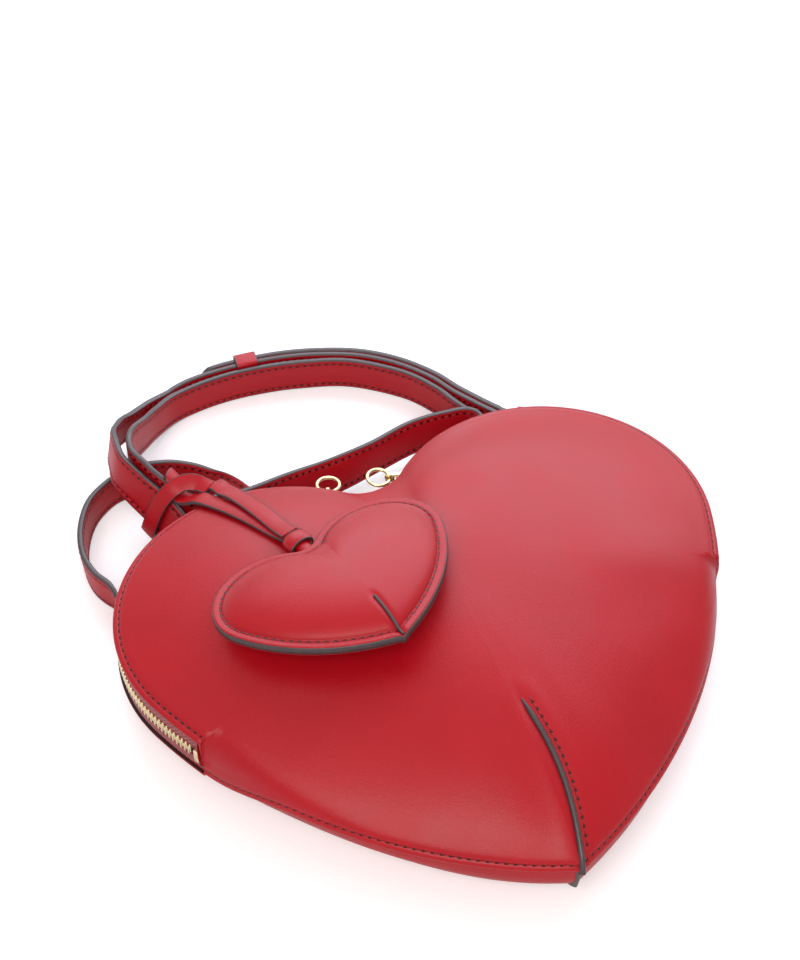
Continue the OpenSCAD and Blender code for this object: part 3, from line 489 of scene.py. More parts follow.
def half_round(width, rise, sink=0.12, points=9):
    """Section of a bead: a half ellipse on the side axis, its foot a little sunk."""
    turn = np.linspace(0, np.pi, points)
    dome = np.stack([width / 2 * np.cos(turn), rise * np.sin(turn)], 1)
    return np.vstack([dome, [[-width / 2, -sink], [width / 2, -sink]]])


def join(pieces, name):
    """Joins several pieces into the first, under one name."""
    bpy.ops.object.select_all(action="DESELECT")
    for one in pieces:
        one.select_set(True)
    bpy.context.view_layer.objects.active = pieces[0]
    bpy.ops.object.join()
    pieces[0].name = pieces[0].data.name = name
    return pieces[0]


def rim_bead(name, rows, thick):
    """Edge paint along the cut edge of a closed sheet."""
    normal = surface_normals(rows)[0]
    path = rows[0, :-1] - normal * thick / 2
    out = unit(np.cross(way_along(path, closed=True), normal))
    return loft(name, path, normal, out, half_round(thick, bead_rise), closed=True)


place(rim_bead("front_panel_edge_paint", front_rows, edge_t), "bag", "edge_paint", edge_paint)

# Stitching
# Waxed red polyester thread, about 8 stitches to the inch. Each stitch is a short flattened
# cord, slightly slanted, and between two of them a small dark disc paints the shade in the needle's
# hole.
thread_w, thread_h = 0.95, 0.6
stitch_len = 2.35
stitch_slant = 10.0
hole_size = (1.35, 1.15)
thread_red = "#930B18"
# dark reds for the painted shade inside the needle's holes
hole_shade_reds = ("#3A0409", "#2C0307")


def thread_finish(name, tint):
    """Waxed polyester thread with a fine twist."""
    material, tree, shader = new_material(name)
    where = add_node(tree, "ShaderNodeTexCoord").outputs["Object"]
    twist = add_node(tree, "ShaderNodeTexNoise", inputs={
        "Vector": where, "Scale": 1 / (0.4 * MM), "Detail": 1.0})
    bump = add_node(tree, "ShaderNodeBump", inputs={
        "Strength": 0.5, "Distance": 0.1 * MM, "Height": twist.outputs[0]})
    tree.links.new(bump.outputs[0], shader.inputs["Normal"])
    shader.inputs["Base Color"].default_value = colour(tint)
    shader.inputs["Roughness"].default_value = 0.5
    return material


thread = thread_finish("waxed_red_thread", thread_red)
# leather in those dark reds, painted as the shade inside each needle hole
needle_hole_shade = calf_leather("needle_hole_painted_shade", *hole_shade_reds)


def shape_of(piece):
    """Points and faces of a piece modelled once, which is then taken away."""
    points = np.array([v.co for v in piece.data.vertices]) / MM
    faces = [list(p.vertices) for p in piece.data.polygons]
    bpy.data.objects.remove(piece)
    return points, faces


def copies(name, shape, places, along, up):
    """One piece of many copies of a shape, each turned to its own along and up."""
    points, faces = shape
    up = unit(up - along * np.sum(up * along, -1, keepdims=True))
    side = np.cross(up, along)
    spots = (places[:, None] + points[None, :, :1] * along[:, None]
             + points[None, :, 1:2] * side[:, None] + points[None, :, 2:] * up[:, None])
    mesh = bpy.data.meshes.new(name)
    mesh.from_pydata((spots * MM).reshape(-1, 3), [], [
        [k * len(points) + i for i in face] for k in range(len(places)) for face in faces])
    piece = bpy.data.objects.new(name, mesh)
    bpy.context.scene.collection.objects.link(piece)
    mesh.shade_smooth()
    return piece


def spaced(path, pitch, closed, *others):
    """Points a pitch apart along a path, with the other values that go with them."""
    if closed:
        path = np.vstack([path, path[:1]])
        others = [np.vstack([o, o[:1]]) for o in others]
    run = np.concatenate([[0], np.cumsum(np.linalg.norm(np.diff(path, axis=0), axis=1))])
    count = max(2, int(round(run[-1] / pitch)))
    at = (np.arange(count) + 0.5) * run[-1] / count

    def pick(values, when):
        return np.stack([np.interp(when, run, values[:, k]) for k in range(3)], 1)

    return pick(path, at), unit(pick(path, at + 0.2) - pick(path, at - 0.2)), *[
        unit(pick(o, at)) for o in others]


bpy.ops.object.select_all(action="DESELECT")
bpy.ops.mesh.primitive_uv_sphere_add(segments=6, ring_count=5, radius=MM / 2)
stitch = bpy.context.object
bpy.ops.transform.resize(value=(thread_w, thread_h, stitch_len))
bpy.ops.transform.rotate(value=math.pi / 2, orient_axis="Y", center_override=(0, 0, 0))
bpy.ops.object.transform_apply()
stitch_shape = shape_of(stitch)

bpy.ops.object.select_all(action="DESELECT")
bpy.ops.mesh.primitive_circle_add(vertices=8, radius=MM / 2, fill_type="NGON")
hole = bpy.context.object
bpy.ops.transform.resize(value=(*hole_size, 1))
bpy.ops.object.transform_apply()
hole_shape = shape_of(hole)


def sew(name, path, normals, body, closed=False, sink=0.0):
    """Stitches along a path on a surface with these normals, and between them dark discs of painted
    shade for the needle's holes.
    """
    spots, along, up = spaced(path, stitch_pitch, closed, normals)
    slant = math.radians(stitch_slant)
    tilted = unit(along * math.cos(slant) + np.cross(up, along) * math.sin(slant))
    place(copies(name, stitch_shape, spots - up * sink, tilted, up), body, "thread", thread)
    # a dark disc between each two stitches is painted shade in the needle's hole
    between = (spots[1:] + spots[:-1]) / 2 + up[1:] * (0.16 - sink / 4)
    place(copies(name + "_holes", hole_shape, between, tilted[1:], up[1:]),
          body, "leather", needle_hole_shade)


front_normals = surface_normals(front_rows)
sew("front_panel_stitching", front_rows[stitch_row, :-1], front_normals[stitch_row], "bag",
    closed=True)

# Back panel
# The shallower skin that the bag lies on, of the same leather. Its edge is painted along the
# zip and tucked under the front panel below it.
back_flat, back_round, back_zip, back_tip = 0.45, 1.8, 0.8, 0.18
lap, tuck_gap = 1.5, 0.15
tuck = 1 - (1 - rim_open) * (panel_t + tuck_gap) / np.hypot(rim[:, 0], rim[:, 1])
back_rim = rim * tuck[:, None]


def back_height(spots):
    """Height of the back panel's outer face under each spot."""
    height, is_open, share = rim_under(spots, back_rim)
    part = parting(height, is_open, share)
    edge_z = (seam_height(height) + lap) * (1 - part) + (seam_z - zip_gap / 2) * part
    power = back_zip + (back_tip - back_zip) * eased(np.clip(-height / tip_y, 0, 1))
    inner = np.clip((share - back_flat) / (1 - back_flat), 0, 1)
    return edge_z * (1 - (1 - inner ** back_round) ** power)


back_rows = panel_rows(back_rim, back_height, -rim_open)
back_panel = lay("back_panel_leather", back_rows, flip=True)
apply_modifier(back_panel, "SOLIDIFY", thickness=panel_t * MM, offset=-1)
place(back_panel, "bag", "leather", leather, "back_panel")
back_normals = -surface_normals(back_rows)
path = back_rows[0, :-1] - back_normals[0] * edge_t / 2
out = unit(np.cross(way_along(path, closed=True), back_normals[0]))
back_bead = loft("back_panel_edge_paint", path, back_normals[0], out,
                 half_round(edge_t, bead_rise), closed=True)
place(back_bead, "bag", "edge_paint", edge_paint)
zip_points = np.flatnonzero(rim_open[:tip_i] == 1)
zip_order = np.concatenate([zip_points[::-1], np.flatnonzero(rim_open[tip_i:] == 1)[::-1] + tip_i])
sew("back_panel_stitching", back_rows[stitch_row, zip_order],
    back_normals[stitch_row, zip_order], "bag")

# Lining and slip pocket
# Rose-brown polyester twill, cut a little smaller than the leather and caught in its seams. A
# patch of the same cloth is sewn on the back lining as a pocket, open towards the notch.
lining_t, lining_share = 0.8, 0.9
pocket_w, pocket_d = 42.0, 62.0
twill_pitch = 0.9
twill_rose = ("#7E5450", "#9A6A64")
wave_unit = 0.314  # a wave texture's bands at scale 1 lie this far apart


def lining_finish():
    """Polyester twill: fine slanting ribs, drawn twice as coarse as the real ones so they show."""
    material, tree, shader = new_material("polyester_twill_lining")
    where = add_node(tree, "ShaderNodeTexCoord").outputs["Object"]
    turned = add_node(tree, "ShaderNodeMapping", inputs={
        "Vector": where, "Rotation": (0, 0, math.radians(35))})
    ribs = add_node(tree, "ShaderNodeTexWave", {"wave_type": "BANDS"}, {
        "Vector": turned.outputs[0], "Scale": wave_unit / (twill_pitch * MM)})
    tone = add_node(tree, "ShaderNodeMix", {"data_type": "RGBA"}, {
        "Factor": ribs.outputs["Fac"], 6: colour(twill_rose[0]), 7: colour(twill_rose[1])})
    tree.links.new(tone.outputs[2], shader.inputs["Base Color"])
    bump = add_node(tree, "ShaderNodeBump", inputs={
        "Strength": 0.5, "Distance": 0.1 * MM, "Height": ribs.outputs["Fac"]})
    tree.links.new(bump.outputs[0], shader.inputs["Normal"])
    shader.inputs["Roughness"].default_value = 0.7
    return material


def heights_and_normals(spots, height_at):
    """Points on a panel over plan spots, with the panel's upward normals."""
    h = 0.4
    z = height_at(spots)
    slope_x = (height_at(spots + [h, 0]) - height_at(spots - [h, 0])) / (2 * h)
    slope_y = (height_at(spots + [0, h]) - height_at(spots - [0, h])) / (2 * h)
    up = unit(np.column_stack([-slope_x, -slope_y, np.ones(len(spots))]))
    return np.column_stack([spots, z]), up


lining_cloth = lining_finish()
lining_rings = np.append(np.linspace(lining_share, 0.1, 22), 0)
for name, outline, look, sign in (
        ("front", rim, front_height, 1), ("back", back_rim, back_height, -1)):
    rows = []
    for share in lining_rings:
        points, up = heights_and_normals(outline * share, look)
        ring = points - sign * up * (panel_t + soft_gap)
        rows.append(np.vstack([ring, ring[:1]]))
    lining = lay(name + "_lining_cloth", rows, flip=sign < 0)
    apply_modifier(lining, "SOLIDIFY", thickness=lining_t * MM, offset=-1)
    place(lining, "bag", "lining", lining_cloth, name + "_lining")

pocket_z = panel_t + 2 * soft_gap + 2 * lining_t
pocket_rows = []
for t in np.linspace(0, 1, 17):
    y = pocket_d * (0.25 - t)
    half = pocket_w / 2 * min(1, (1 - t) * 4)
    rise = 0.7 * math.exp(-t * 12)
    pocket_rows.append(
        [[x * half, y, pocket_z + rise * (1 - x * x)] for x in np.linspace(-1, 1, 13)])
pocket = lay("slip_pocket_cloth", pocket_rows[::-1])
apply_modifier(pocket, "SOLIDIFY", thickness=lining_t * MM, offset=-1)
place(pocket, "bag", "lining", lining_cloth, "slip_pocket")

# Darts
# The pinched leather stands up as a ridge whose two cut edges are painted together. A row of
# stitches runs down its right side.
dart_side, dart_sunk = 2.8, 0.8
back_dart_drift, back_dart_share = 3.0, 0.2

on_dart, dart_up = heights_and_normals(dart_line, front_look)
along = way_along(on_dart)
taper = np.clip((dart_shares - dart_shares[-1]) / 0.05, 0.15, 1) ** 0.5
ridge = half_round(dart_w, dart_h, sink=dart_sunk)[None] * np.stack([taper, taper], -1)[:, None]
place(loft("front_dart_ridge", on_dart, unit(np.cross(along, dart_up)), dart_up, ridge),
      "bag", "edge_paint", edge_paint, "front_dart_welt")
line_side = way_along(dart_line)
line_side = np.stack([line_side[:, 1], -line_side[:, 0]], 1)
on_seam, seam_up = heights_and_normals(dart_line[1:] + dart_side * line_side[1:], front_look)
sew("front_dart_stitching", on_seam, seam_up, "bag")

back_dart_shares = np.linspace(1, 1 - back_dart_share, 14)
back_line = back_rim[tip_i] * back_dart_shares[:, None]
back_line[:, 0] -= back_dart_drift * (1 - back_dart_shares) / back_dart_share
on_dart, dart_down = heights_and_normals(back_line, back_height)
dart_down = -dart_down
along = way_along(on_dart)
place(loft("back_dart_ridge", on_dart, unit(np.cross(along, dart_down)), dart_down,
           half_round(dart_w, dart_h, sink=dart_sunk)),
      "bag", "edge_paint", edge_paint, "back_dart_welt")
on_seam, seam_down = heights_and_normals(back_line[3:] + [dart_side, 0], back_height)
sew("back_dart_stitching", on_seam, -seam_down, "bag")

# Zip tapes
# Woven polyester tape with a herringbone weave, sewn behind the two cut edges. Each tape is a
# wall across the gap and a flange under its panel.
tape_inset, tape_t, slit, tooth_h = 1.2, 0.7, 0.8, 2.4
tape_off = 0.45
flange_share, flange_end_share = 0.96, 0.925
tape_foot = slit + tooth_h / 2
wall_top = zip_gap / 2 - panel_t - 0.1 * panel_t
# the tape's red, and a darker red painted as the shade in the grooves between its ribs
tape_red, tape_groove_shade = "#A50E1C", "#5C0A12"
rib_pitch = 2.2


def tape_finish():
    """Woven polyester tape: slanting ribs a couple of millimetres apart, with painted shade in
    their grooves.
    """
    material, tree, shader = new_material("herringbone_polyester_tape")
    run = add_node(tree, "ShaderNodeAttribute", {"attribute_name": "run"})
    part = add_node(tree, "ShaderNodeSeparateXYZ", inputs={0: run.outputs["Vector"]})
    slant = add_node(tree, "ShaderNodeMath", {"operation": "MULTIPLY_ADD"}, {
        0: part.outputs[1], 1: 0.9, 2: part.outputs[0]})
    turns = add_node(tree, "ShaderNodeMath", {"operation": "MULTIPLY"}, {
        0: slant.outputs[0], 1: 2 * math.pi / rib_pitch})
    rib = add_node(tree, "ShaderNodeMath", {"operation": "SINE"}, {0: turns.outputs[0]})
    rib = add_node(tree, "ShaderNodeMapRange", inputs={
        "Value": rib.outputs[0], "From Min": -1.0, "From Max": 1.0})
    # the grooves between the ribs take the darker red, which is painted shade
    tone = add_node(tree, "ShaderNodeMix", {"data_type": "RGBA"}, {
        "Factor": rib.outputs["Result"], 6: colour(tape_groove_shade), 7: colour(tape_red)})
    tree.links.new(tone.outputs[2], shader.inputs["Base Color"])
    bump = add_node(tree, "ShaderNodeBump", inputs={
        "Strength": 0.9, "Distance": 0.35 * MM, "Height": rib.outputs["Result"]})
    tree.links.new(bump.outputs[0], shader.inputs["Normal"])
    shader.inputs["Roughness"].default_value = 0.62
    shader.inputs["Sheen Weight"].default_value = 0.2
    return material


tape_cloth = tape_finish()
right_run = np.vstack([
    arc(notch_c, notch_r, 270, notch_a + 180, 12), arc(lobe_c, lobe_r, notch_a, -side_angle, 100),
    arc(side_c, side_r, -side_angle, zip_a, 16), [side_c + side_r * np.array(
        [math.cos(math.radians(zip_a)), math.sin(math.radians(zip_a))])]])
zip_run = np.vstack([(right_run * [-1, 1])[::-1], right_run[1:]])
zip_way = way_along(zip_run)
zip_out = np.stack([-zip_way[:, 1], zip_way[:, 0]], 1)
zip_length = np.concatenate([[0], np.cumsum(np.linalg.norm(np.diff(zip_run, axis=0), axis=1))])


def panel_under(run, share, off, upper):
    """Points under a panel's face at a share of the way out."""
    spots = run * share
    points, up = heights_and_normals(spots, front_height if upper else back_height)
    return points - up * off if upper else points + up * off


def at_height(run, height):
    """Points of the zip's line, brought to a height above or below its middle."""
    return np.column_stack([run, np.full(len(run), seam_z + height)])


for upper in (True, False):
    sign = 1 if upper else -1
    outer = zip_run - zip_out * tape_inset
    inner = zip_run - zip_out * (tape_inset + tape_t)
    off = panel_t + tape_off
    columns = [at_height(outer, sign * (tape_foot + (wall_top - tape_foot) * k / 4))
               for k in range(5)]
    columns += [panel_under(zip_run, flange_share, off, upper),
                panel_under(zip_run, flange_end_share, off, upper),
                panel_under(zip_run, flange_end_share, off + tape_t, upper),
                panel_under(zip_run, flange_share, off + tape_t, upper),
                at_height(inner, sign * (wall_top - tape_t / 2)),
                at_height(inner, sign * tape_foot)]
    rows = np.stack(columns + columns[:1], 1)
    across = np.array([0, 1.5, 3, 4.5, 6, 9, 12, 13, 16, 18, 23, 24.0])
    pattern = np.stack(np.broadcast_arrays(zip_length[:, None], across[None]), -1)
    name = "front_zip_tape" if upper else "back_zip_tape"
    tape = lay(name, rows, pattern)
    bpy.ops.object.mode_set(mode="EDIT")
    bpy.ops.mesh.select_all(action="SELECT")
    bpy.ops.mesh.fill_holes(sides=0)
    bpy.ops.mesh.normals_make_consistent(inside=False)
    bpy.ops.object.mode_set(mode="OBJECT")
    bpy.ops.object.shade_smooth_by_angle(angle=math.radians(40))
    place(tape, "bag", "tape", tape_cloth, "zip_tape_front" if upper else "zip_tape_back")

# Zip teeth and end stops
# Pressed brass teeth with a light gold plating, clamped on the tape's cord 2.1 mm apart. The two
# rows mesh head to head along the closed zip.
tooth_pitch, tooth_t = 2.1, 1.8
tooth_w, tooth_reach = 0.82, 2.1
stop_len = 2.4
row_in = tape_inset + tape_t / 2


def metal_finish(name, tint, gloss, scratch=1.5):
    """Light gold plating over brass, polished by barrelling, so faintly uneven."""
    material, tree, shader = new_material(name)
    where = add_node(tree, "ShaderNodeTexCoord").outputs["Object"]
    wear = add_node(tree, "ShaderNodeTexNoise", inputs={
        "Vector": where, "Scale": 1 / (scratch * MM), "Detail": 3.0})
    rough = add_node(tree, "ShaderNodeMapRange", inputs={
        "Value": wear.outputs[0], "To Min": gloss * 0.7, "To Max": gloss * 1.4})
    tree.links.new(rough.outputs["Result"], shader.inputs["Roughness"])
    shader.inputs["Base Color"].default_value = colour(tint)
    shader.inputs["Metallic"].default_value = 1.0
    return material


gold = metal_finish("light_gold_plating", "#E2CC9C", 0.2)
tooth_gold = metal_finish("light_gold_teeth", "#E6D6AE", 0.28)

bpy.ops.object.select_all(action="DESELECT")
bpy.ops.mesh.primitive_cube_add(size=MM)
tooth = bpy.context.object
bpy.ops.object.mode_set(mode="EDIT")
bpy.ops.transform.resize(value=(tooth_h + tooth_reach, tooth_w, tooth_t))
bpy.ops.mesh.bevel(offset=0.2 * MM, segments=2, affect="EDGES")
bpy.ops.object.mode_set(mode="OBJECT")
tooth_shape = shape_of(tooth)

row_path = zip_run - zip_out * row_in
run_at = np.concatenate([[0], np.cumsum(np.linalg.norm(np.diff(row_path, axis=0), axis=1))])
tooth_n = int((run_at[-1] / 2 - stop_len - tooth_pitch) / tooth_pitch)
for upper in (True, False):
    sign = 1 if upper else -1
    shift = 0 if upper else tooth_pitch / 2
    at = run_at[-1] / 2 + np.arange(-tooth_n, tooth_n + (1 if upper else 0)) * tooth_pitch + shift
    spots = np.stack([np.interp(at, run_at, row_path[:, k]) for k in range(2)], 1)
    face = np.stack([np.interp(at, run_at, zip_out[:, k]) for k in range(2)], 1)
    middle = slit + tooth_h - (tooth_h + tooth_reach) / 2
    places = at_height(spots, sign * middle)
    upward = np.tile([0, 0, float(sign)], (len(at), 1))
    outer = np.column_stack([face, np.zeros(len(at))])
    name = "front_zip_teeth" if upper else "back_zip_teeth"
    teeth = copies(name, tooth_shape, places, upward, outer)
    cord = at_height(row_path, sign * (slit + tooth_h * 0.75))
    turn = np.linspace(0, 2 * np.pi, 9)[:-1]
    bead = loft(name + "_cord", cord, np.column_stack([zip_out, np.zeros(len(zip_out))]),
                np.tile([0, 0, 1.0], (len(cord), 1)),
                np.stack([0.7 * np.cos(turn), 0.55 * np.sin(turn)], 1))
    place(teeth, "bag", "gold_metal", tooth_gold, "zip_teeth_front" if upper else "zip_teeth_back")
    place(bead, "bag", "tape", tape_cloth)


def softened(node, name, body, slot, material, width, segments=2):
    """A CAD node's own shape with its edges rounded, as its own piece."""
    piece = bpy.data.objects.new(name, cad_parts[node].data.copy())
    bpy.context.scene.collection.objects.link(piece)
    bpy.ops.object.select_all(action="DESELECT")
    piece.select_set(True)
    bpy.context.view_layer.objects.active = piece
    bpy.ops.object.mode_set(mode="EDIT")
    bpy.ops.mesh.select_all(action="SELECT")
    bpy.ops.mesh.remove_doubles(threshold=0.002 * MM)
    bpy.ops.mesh.dissolve_limited(angle_limit=math.radians(1))
    bpy.ops.mesh.normals_make_consistent(inside=False)
    bpy.ops.object.mode_set(mode="OBJECT")
    apply_modifier(piece, "BEVEL", width=width * MM, segments=segments, limit_method="ANGLE",
                   angle_limit=math.radians(35))
    bpy.ops.object.shade_smooth_by_angle(angle=math.radians(35))
    return place(piece, body, slot, material, node)


softened("zip_end_stops", "zip_end_stops_metal", "bag", "gold_metal", tooth_gold, 0.25)

# Sliders, pulls and rings
# Cast zinc, plated light gold. Two sliders meet at the notch, each with a stirrup pull on its
# bail and a round ring in the pull's eye.
for side, letter in (("left", "l"), ("right", "r")):
    softened(side + "_slider", side + "_slider_metal", "slider_" + letter, "gold_metal", gold, 0.3)
    softened(side + "_pull", side + "_pull_metal", "pull_" + letter, "gold_metal", gold, 0.15)
    softened(side + "_pull_ring", side + "_pull_ring_metal", "ring_" + letter,
             "gold_metal", gold, 0.01, 1)

# Strap tabs and rings
# Short leather tabs sewn to the back panel where it turns down to the table, each holding a ring
# of plated wire that an end of the strap folds round. The bag hides them from above.
for side in ("left", "right"):
    softened(side + "_tab", side + "_tab_leather", "bag", "leather", leather, 0.3)
    softened(side + "_strap_ring", side + "_strap_ring_metal", "bag", "gold_metal", gold, 0.02, 1)

# Strap
# Two lengths of a double-layer leather strap, sewn along both edges and edge-painted. The short
# one ends in the buckle and the long one in a tail with adjusting holes.
strap_w, strap_t = 16.4, 2.6
sew_in = 2.3
# Places along each strap's lower edge: x and y in shares of the bag's half width, height in shares
# of the strap's width, and the angle by which the strap leans to its left
short_route_shares = [
    [-0.401, 0.641, 0.06, -88], [-0.401, 0.689, 0.02, -90], [-0.401, 0.745, 0, -90],
    [-0.401, 0.801, 0, -86], [-0.424, 0.845, 0, -69], [-0.462, 0.899, 0, -41],
    [-0.499, 0.963, 0.01, -22], [-0.55, 1.013, 0.01, -12], [-0.626, 1.049, 0.01, -4],
    [-0.694, 1.052, 0, 0], [-0.764, 1.033, 0, 1], [-0.844, 0.969, 0, -2], [-0.904, 0.865, 0, -3],
    [-0.93, 0.755, 0, -4], [-0.925, 0.662, 0, -3], [-0.886, 0.583, 0, -7], [-0.829, 0.529, 0, -44],
    [-0.769, 0.501, 0, -78], [-0.705, 0.513, 0, -82], [-0.665, 0.573, 0, -78],
    [-0.653, 0.641, 0.06, -60], [-0.659, 0.721, 0.3, -40], [-0.682, 0.804, 0.66, -31],
    [-0.721, 0.892, 0.95, -24], [-0.747, 0.981, 1.07, -22], [-0.733, 1.063, 1.07, -13],
    [-0.712, 1.15, 0.83, -12], [-0.654, 1.246, 0.48, -12], [-0.547, 1.321, 0.18, -6],
    [-0.434, 1.37, 0, -3], [-0.321, 1.395, 0, 0], [-0.162, 1.397, 0, 0], [-0.003, 1.376, 0, 0],
    [0.133, 1.337, 0, 0], [0.272, 1.27, 0, 0], [0.383, 1.175, 0, 0], [0.468, 1.058, 0, 0],
    [0.517, 0.95, 0, -1], [0.592, 0.785, 0.11, 0], [0.628, 0.724, 0.2, 0], [0.694, 0.685, 0.2, 0],
    [0.727, 0.666, 0.2, 0]]
long_route_shares = [
    [-0.276, 1.421, 0, 0], [-0.161, 1.421, 0, 0], [0.002, 1.399, 0, 0], [0.141, 1.358, 0, 0],
    [0.285, 1.29, 0, 0], [0.401, 1.192, 0, 0], [0.489, 1.07, 0, 0], [0.538, 0.96, 0, 0],
    [0.614, 0.796, 0.11, 0], [0.647, 0.74, 0.2, 0], [0.723, 0.697, 0.2, 0], [0.749, 0.7, 0.2, 0],
    [0.772, 0.693, 0.2, 0], [0.802, 0.665, 0.2, 0], [0.823, 0.622, 0.2, 0], [0.844, 0.577, 0.2, 0],
    [0.865, 0.557, 0.2, 0], [0.903, 0.535, 0.2, 0], [0.938, 0.5, 0.1, 0], [0.961, 0.459, 0, 0],
    [0.945, 0.429, 0, 0], [0.915, 0.444, 0, 0], [0.881, 0.486, 0, 0], [0.839, 0.53, 0, 0],
    [0.787, 0.572, 0, 0], [0.727, 0.611, 0, 0], [0.675, 0.651, 0, 0], [0.619, 0.682, 0, 0],
    [0.568, 0.74, 0, 0], [0.532, 0.817, 0, 0], [0.497, 0.902, 0, 0], [0.464, 0.997, 0, 0],
    [0.39, 1.119, 0, 0], [0.24, 1.251, 0, 0], [0.088, 1.314, 0, 0], [-0.071, 1.352, 0, 0],
    [-0.239, 1.365, 0, 0], [-0.4, 1.339, 0.04, 0], [-0.51, 1.258, 0.29, 1],
    [-0.59, 1.167, 0.62, 2], [-0.654, 1.07, 1.07, 1], [-0.672, 1.001, 1.15, 1],
    [-0.659, 0.938, 1.09, 5], [-0.646, 0.881, 0.91, 16], [-0.628, 0.819, 0.57, 22],
    [-0.571, 0.761, 0.24, 20], [-0.509, 0.729, 0.06, 10], [-0.476, 0.741, 0.17, 10],
    [-0.444, 0.761, 0.24, 13], [-0.374, 0.753, 0.21, 10], [-0.292, 0.747, 0.23, 13],
    [-0.186, 0.743, 0.24, 20], [-0.028, 0.753, 0.1, 27], [0.138, 0.788, 0.12, 14],
    [0.298, 0.811, 0.21, 15], [0.428, 0.802, 0.28, 13], [0.508, 0.787, 0.3, 5],
    [0.529, 0.74, 0.18, -35], [0.521, 0.697, 0.06, -80], [0.517, 0.641, 0.06, -88]]
short_route, long_route = (
    [[x * half_w, y * half_w, z * strap_w, lean] for x, y, z, lean in shares]
    for shares in (short_route_shares, long_route_shares))


def smooth_curve(points, steps):
    """Catmull-Rom curve through points."""
    p = np.asarray(points, float)
    p = np.vstack([p[:1], p, p[-1:]])
    a, b, c, d = (p[i:len(p) - 3 + i, None] for i in range(4))
    t = (np.arange(steps) / steps)[None, :, None]
    curve = (2 * b + (c - a) * t + (2 * a - 5 * b + 4 * c - d) * t ** 2
             + (3 * b - a - 3 * c + d) * t ** 3) / 2
    return np.vstack([curve.reshape(-1, p.shape[1]), p[-1:]])


def strap_frames(route, steps=6):
    """Lower edge of the strap along its route, and the directions of its width, face and run."""
    r = smooth_curve(route, steps)
    foot = r[:, :3].copy()
    foot[:, 2] = np.maximum(foot[:, 2], 0) + strap_t / 2 * np.abs(np.sin(np.radians(r[:, 3])))
    plan = unit(np.gradient(r[:, :2], axis=0))
    run = unit(np.gradient(r[:, :3], axis=0))
    lean = np.radians(r[:, 3])
    width = np.stack([-plan[:, 1] * np.sin(lean), plan[:, 0] * np.sin(lean), np.cos(lean)], 1)
    width = unit(width - run * np.sum(width * run, 1, keepdims=True))
    return foot, width, np.cross(width, run), run


def strap_section():
    """The strap's section from its lower edge: rounded corners, a groove along each seam."""
    half = strap_t / 2
    stations = [0.35, 0.6, 1.3, sew_in - 0.5, sew_in, sew_in + 0.5, 4.2, strap_w / 2]
    sinks = [0.4, 0.08, 0.0, 0.08, 0.3, 0.08, -0.02, -0.06]
    stations += [strap_w - s for s in stations[-2::-1]]
    sinks += sinks[-2::-1]
    face = [(half - s, w) for w, s in zip(stations, sinks)]
    return np.array(face + [(-f, w) for f, w in face[::-1]])


def end_fold(name, centre, axis, inner, outer, width, start=0.0, end=2 * math.pi):
    """The strap's end folded round a bar and sewn back."""
    turn = np.linspace(start, end, 33)
    ahead = unit(np.cross(axis, [0.0, 1.0, 0.3]))
    out = np.cos(turn)[:, None] * ahead + np.sin(turn)[:, None] * np.cross(axis, ahead)
    half = (outer - inner) / 2
    round_in = half * 0.35
    flat, thick = width / 2 - round_in, half - round_in
    section = [(-width / 2, -thick), (-flat, -half), (flat, -half), (width / 2, -thick),
               (width / 2, thick), (flat, half), (-flat, half), (-width / 2, thick)]
    path = centre + out * (inner + half)
    return loft(name, path[:-1], np.tile(axis, (32, 1)), out[:-1], section, closed=True)


def punch(strip, centre, axis, radius, length):
    """Punches a round hole through a strap."""
    bpy.ops.object.select_all(action="DESELECT")
    bpy.ops.mesh.primitive_cylinder_add(vertices=24, radius=radius * MM, depth=length * MM)
    drill = bpy.context.object
    drill.rotation_mode = "QUATERNION"
    drill.rotation_quaternion = Vector(axis).to_track_quat("Z", "Y")
    drill.location = Vector(centre) * MM
    bpy.ops.object.transform_apply()
    apply_modifier(strip, "BOOLEAN", object=drill, operation="DIFFERENCE", solver="EXACT")
    bpy.data.objects.remove(drill)


tail_round, tail_unsewn = 5.0, 6


def make_strap(name, route, node, folds, holes=(), has_tail=False):
    """Leather, painted edges and stitching of one length of strap."""
    foot, width, face, run = strap_frames(route)
    back = np.zeros(len(foot))
    if has_tail:
        gone = np.concatenate([[0], np.cumsum(np.linalg.norm(np.diff(foot, axis=0), axis=1))])
        back = tail_round * (1 - np.sqrt(1 - np.clip(1 - gone / tail_round, 0, 0.98) ** 2))
    section = strap_section()
    sections = np.repeat(section[None], len(foot), 0)
    sections[..., 1] = back[:, None] + section[:, 1] * (1 - 2 * back / strap_w)[:, None]
    strip = loft(name + "_leather", foot, face, width, sections)
    for centre, axis, radius, length in holes:
        punch(strip, centre, axis, radius, length)
    low, high = foot + width * back[:, None], foot + width * (strap_w - back)[:, None]
    bead = half_round(strap_t * 0.94, 0.5, sink=0.2)
    beads = [loft(name + "_bead", edge - out * 0.5, face, out, bead)
             for edge, out in ((low, -width), (high, width))]
    if has_tail:
        rise = np.linspace(0, 1, 9)[:, None]
        end = low[0] * (1 - rise) + high[0] * rise
        beads.append(loft(name + "_bead", end + run[0] * 0.3, np.tile(face[0], (9, 1)),
                          np.tile(-run[0], (9, 1)), bead))
    place(join(beads, name + "_edge_paint"), "bag", "edge_paint", edge_paint)
    first = tail_unsewn if has_tail else 0
    for side, up in (("left", face), ("right", -face)):
        for level, across in (("low", sew_in), ("high", strap_w - sew_in)):
            line = foot + width * across + up * strap_t / 2
            sew(name + "_stitching_" + side + "_" + level, line[first:], up[first:], "bag",
                sink=0.22)
    place(join([strip] + folds, name + "_leather"), "bag", "leather", leather, node)


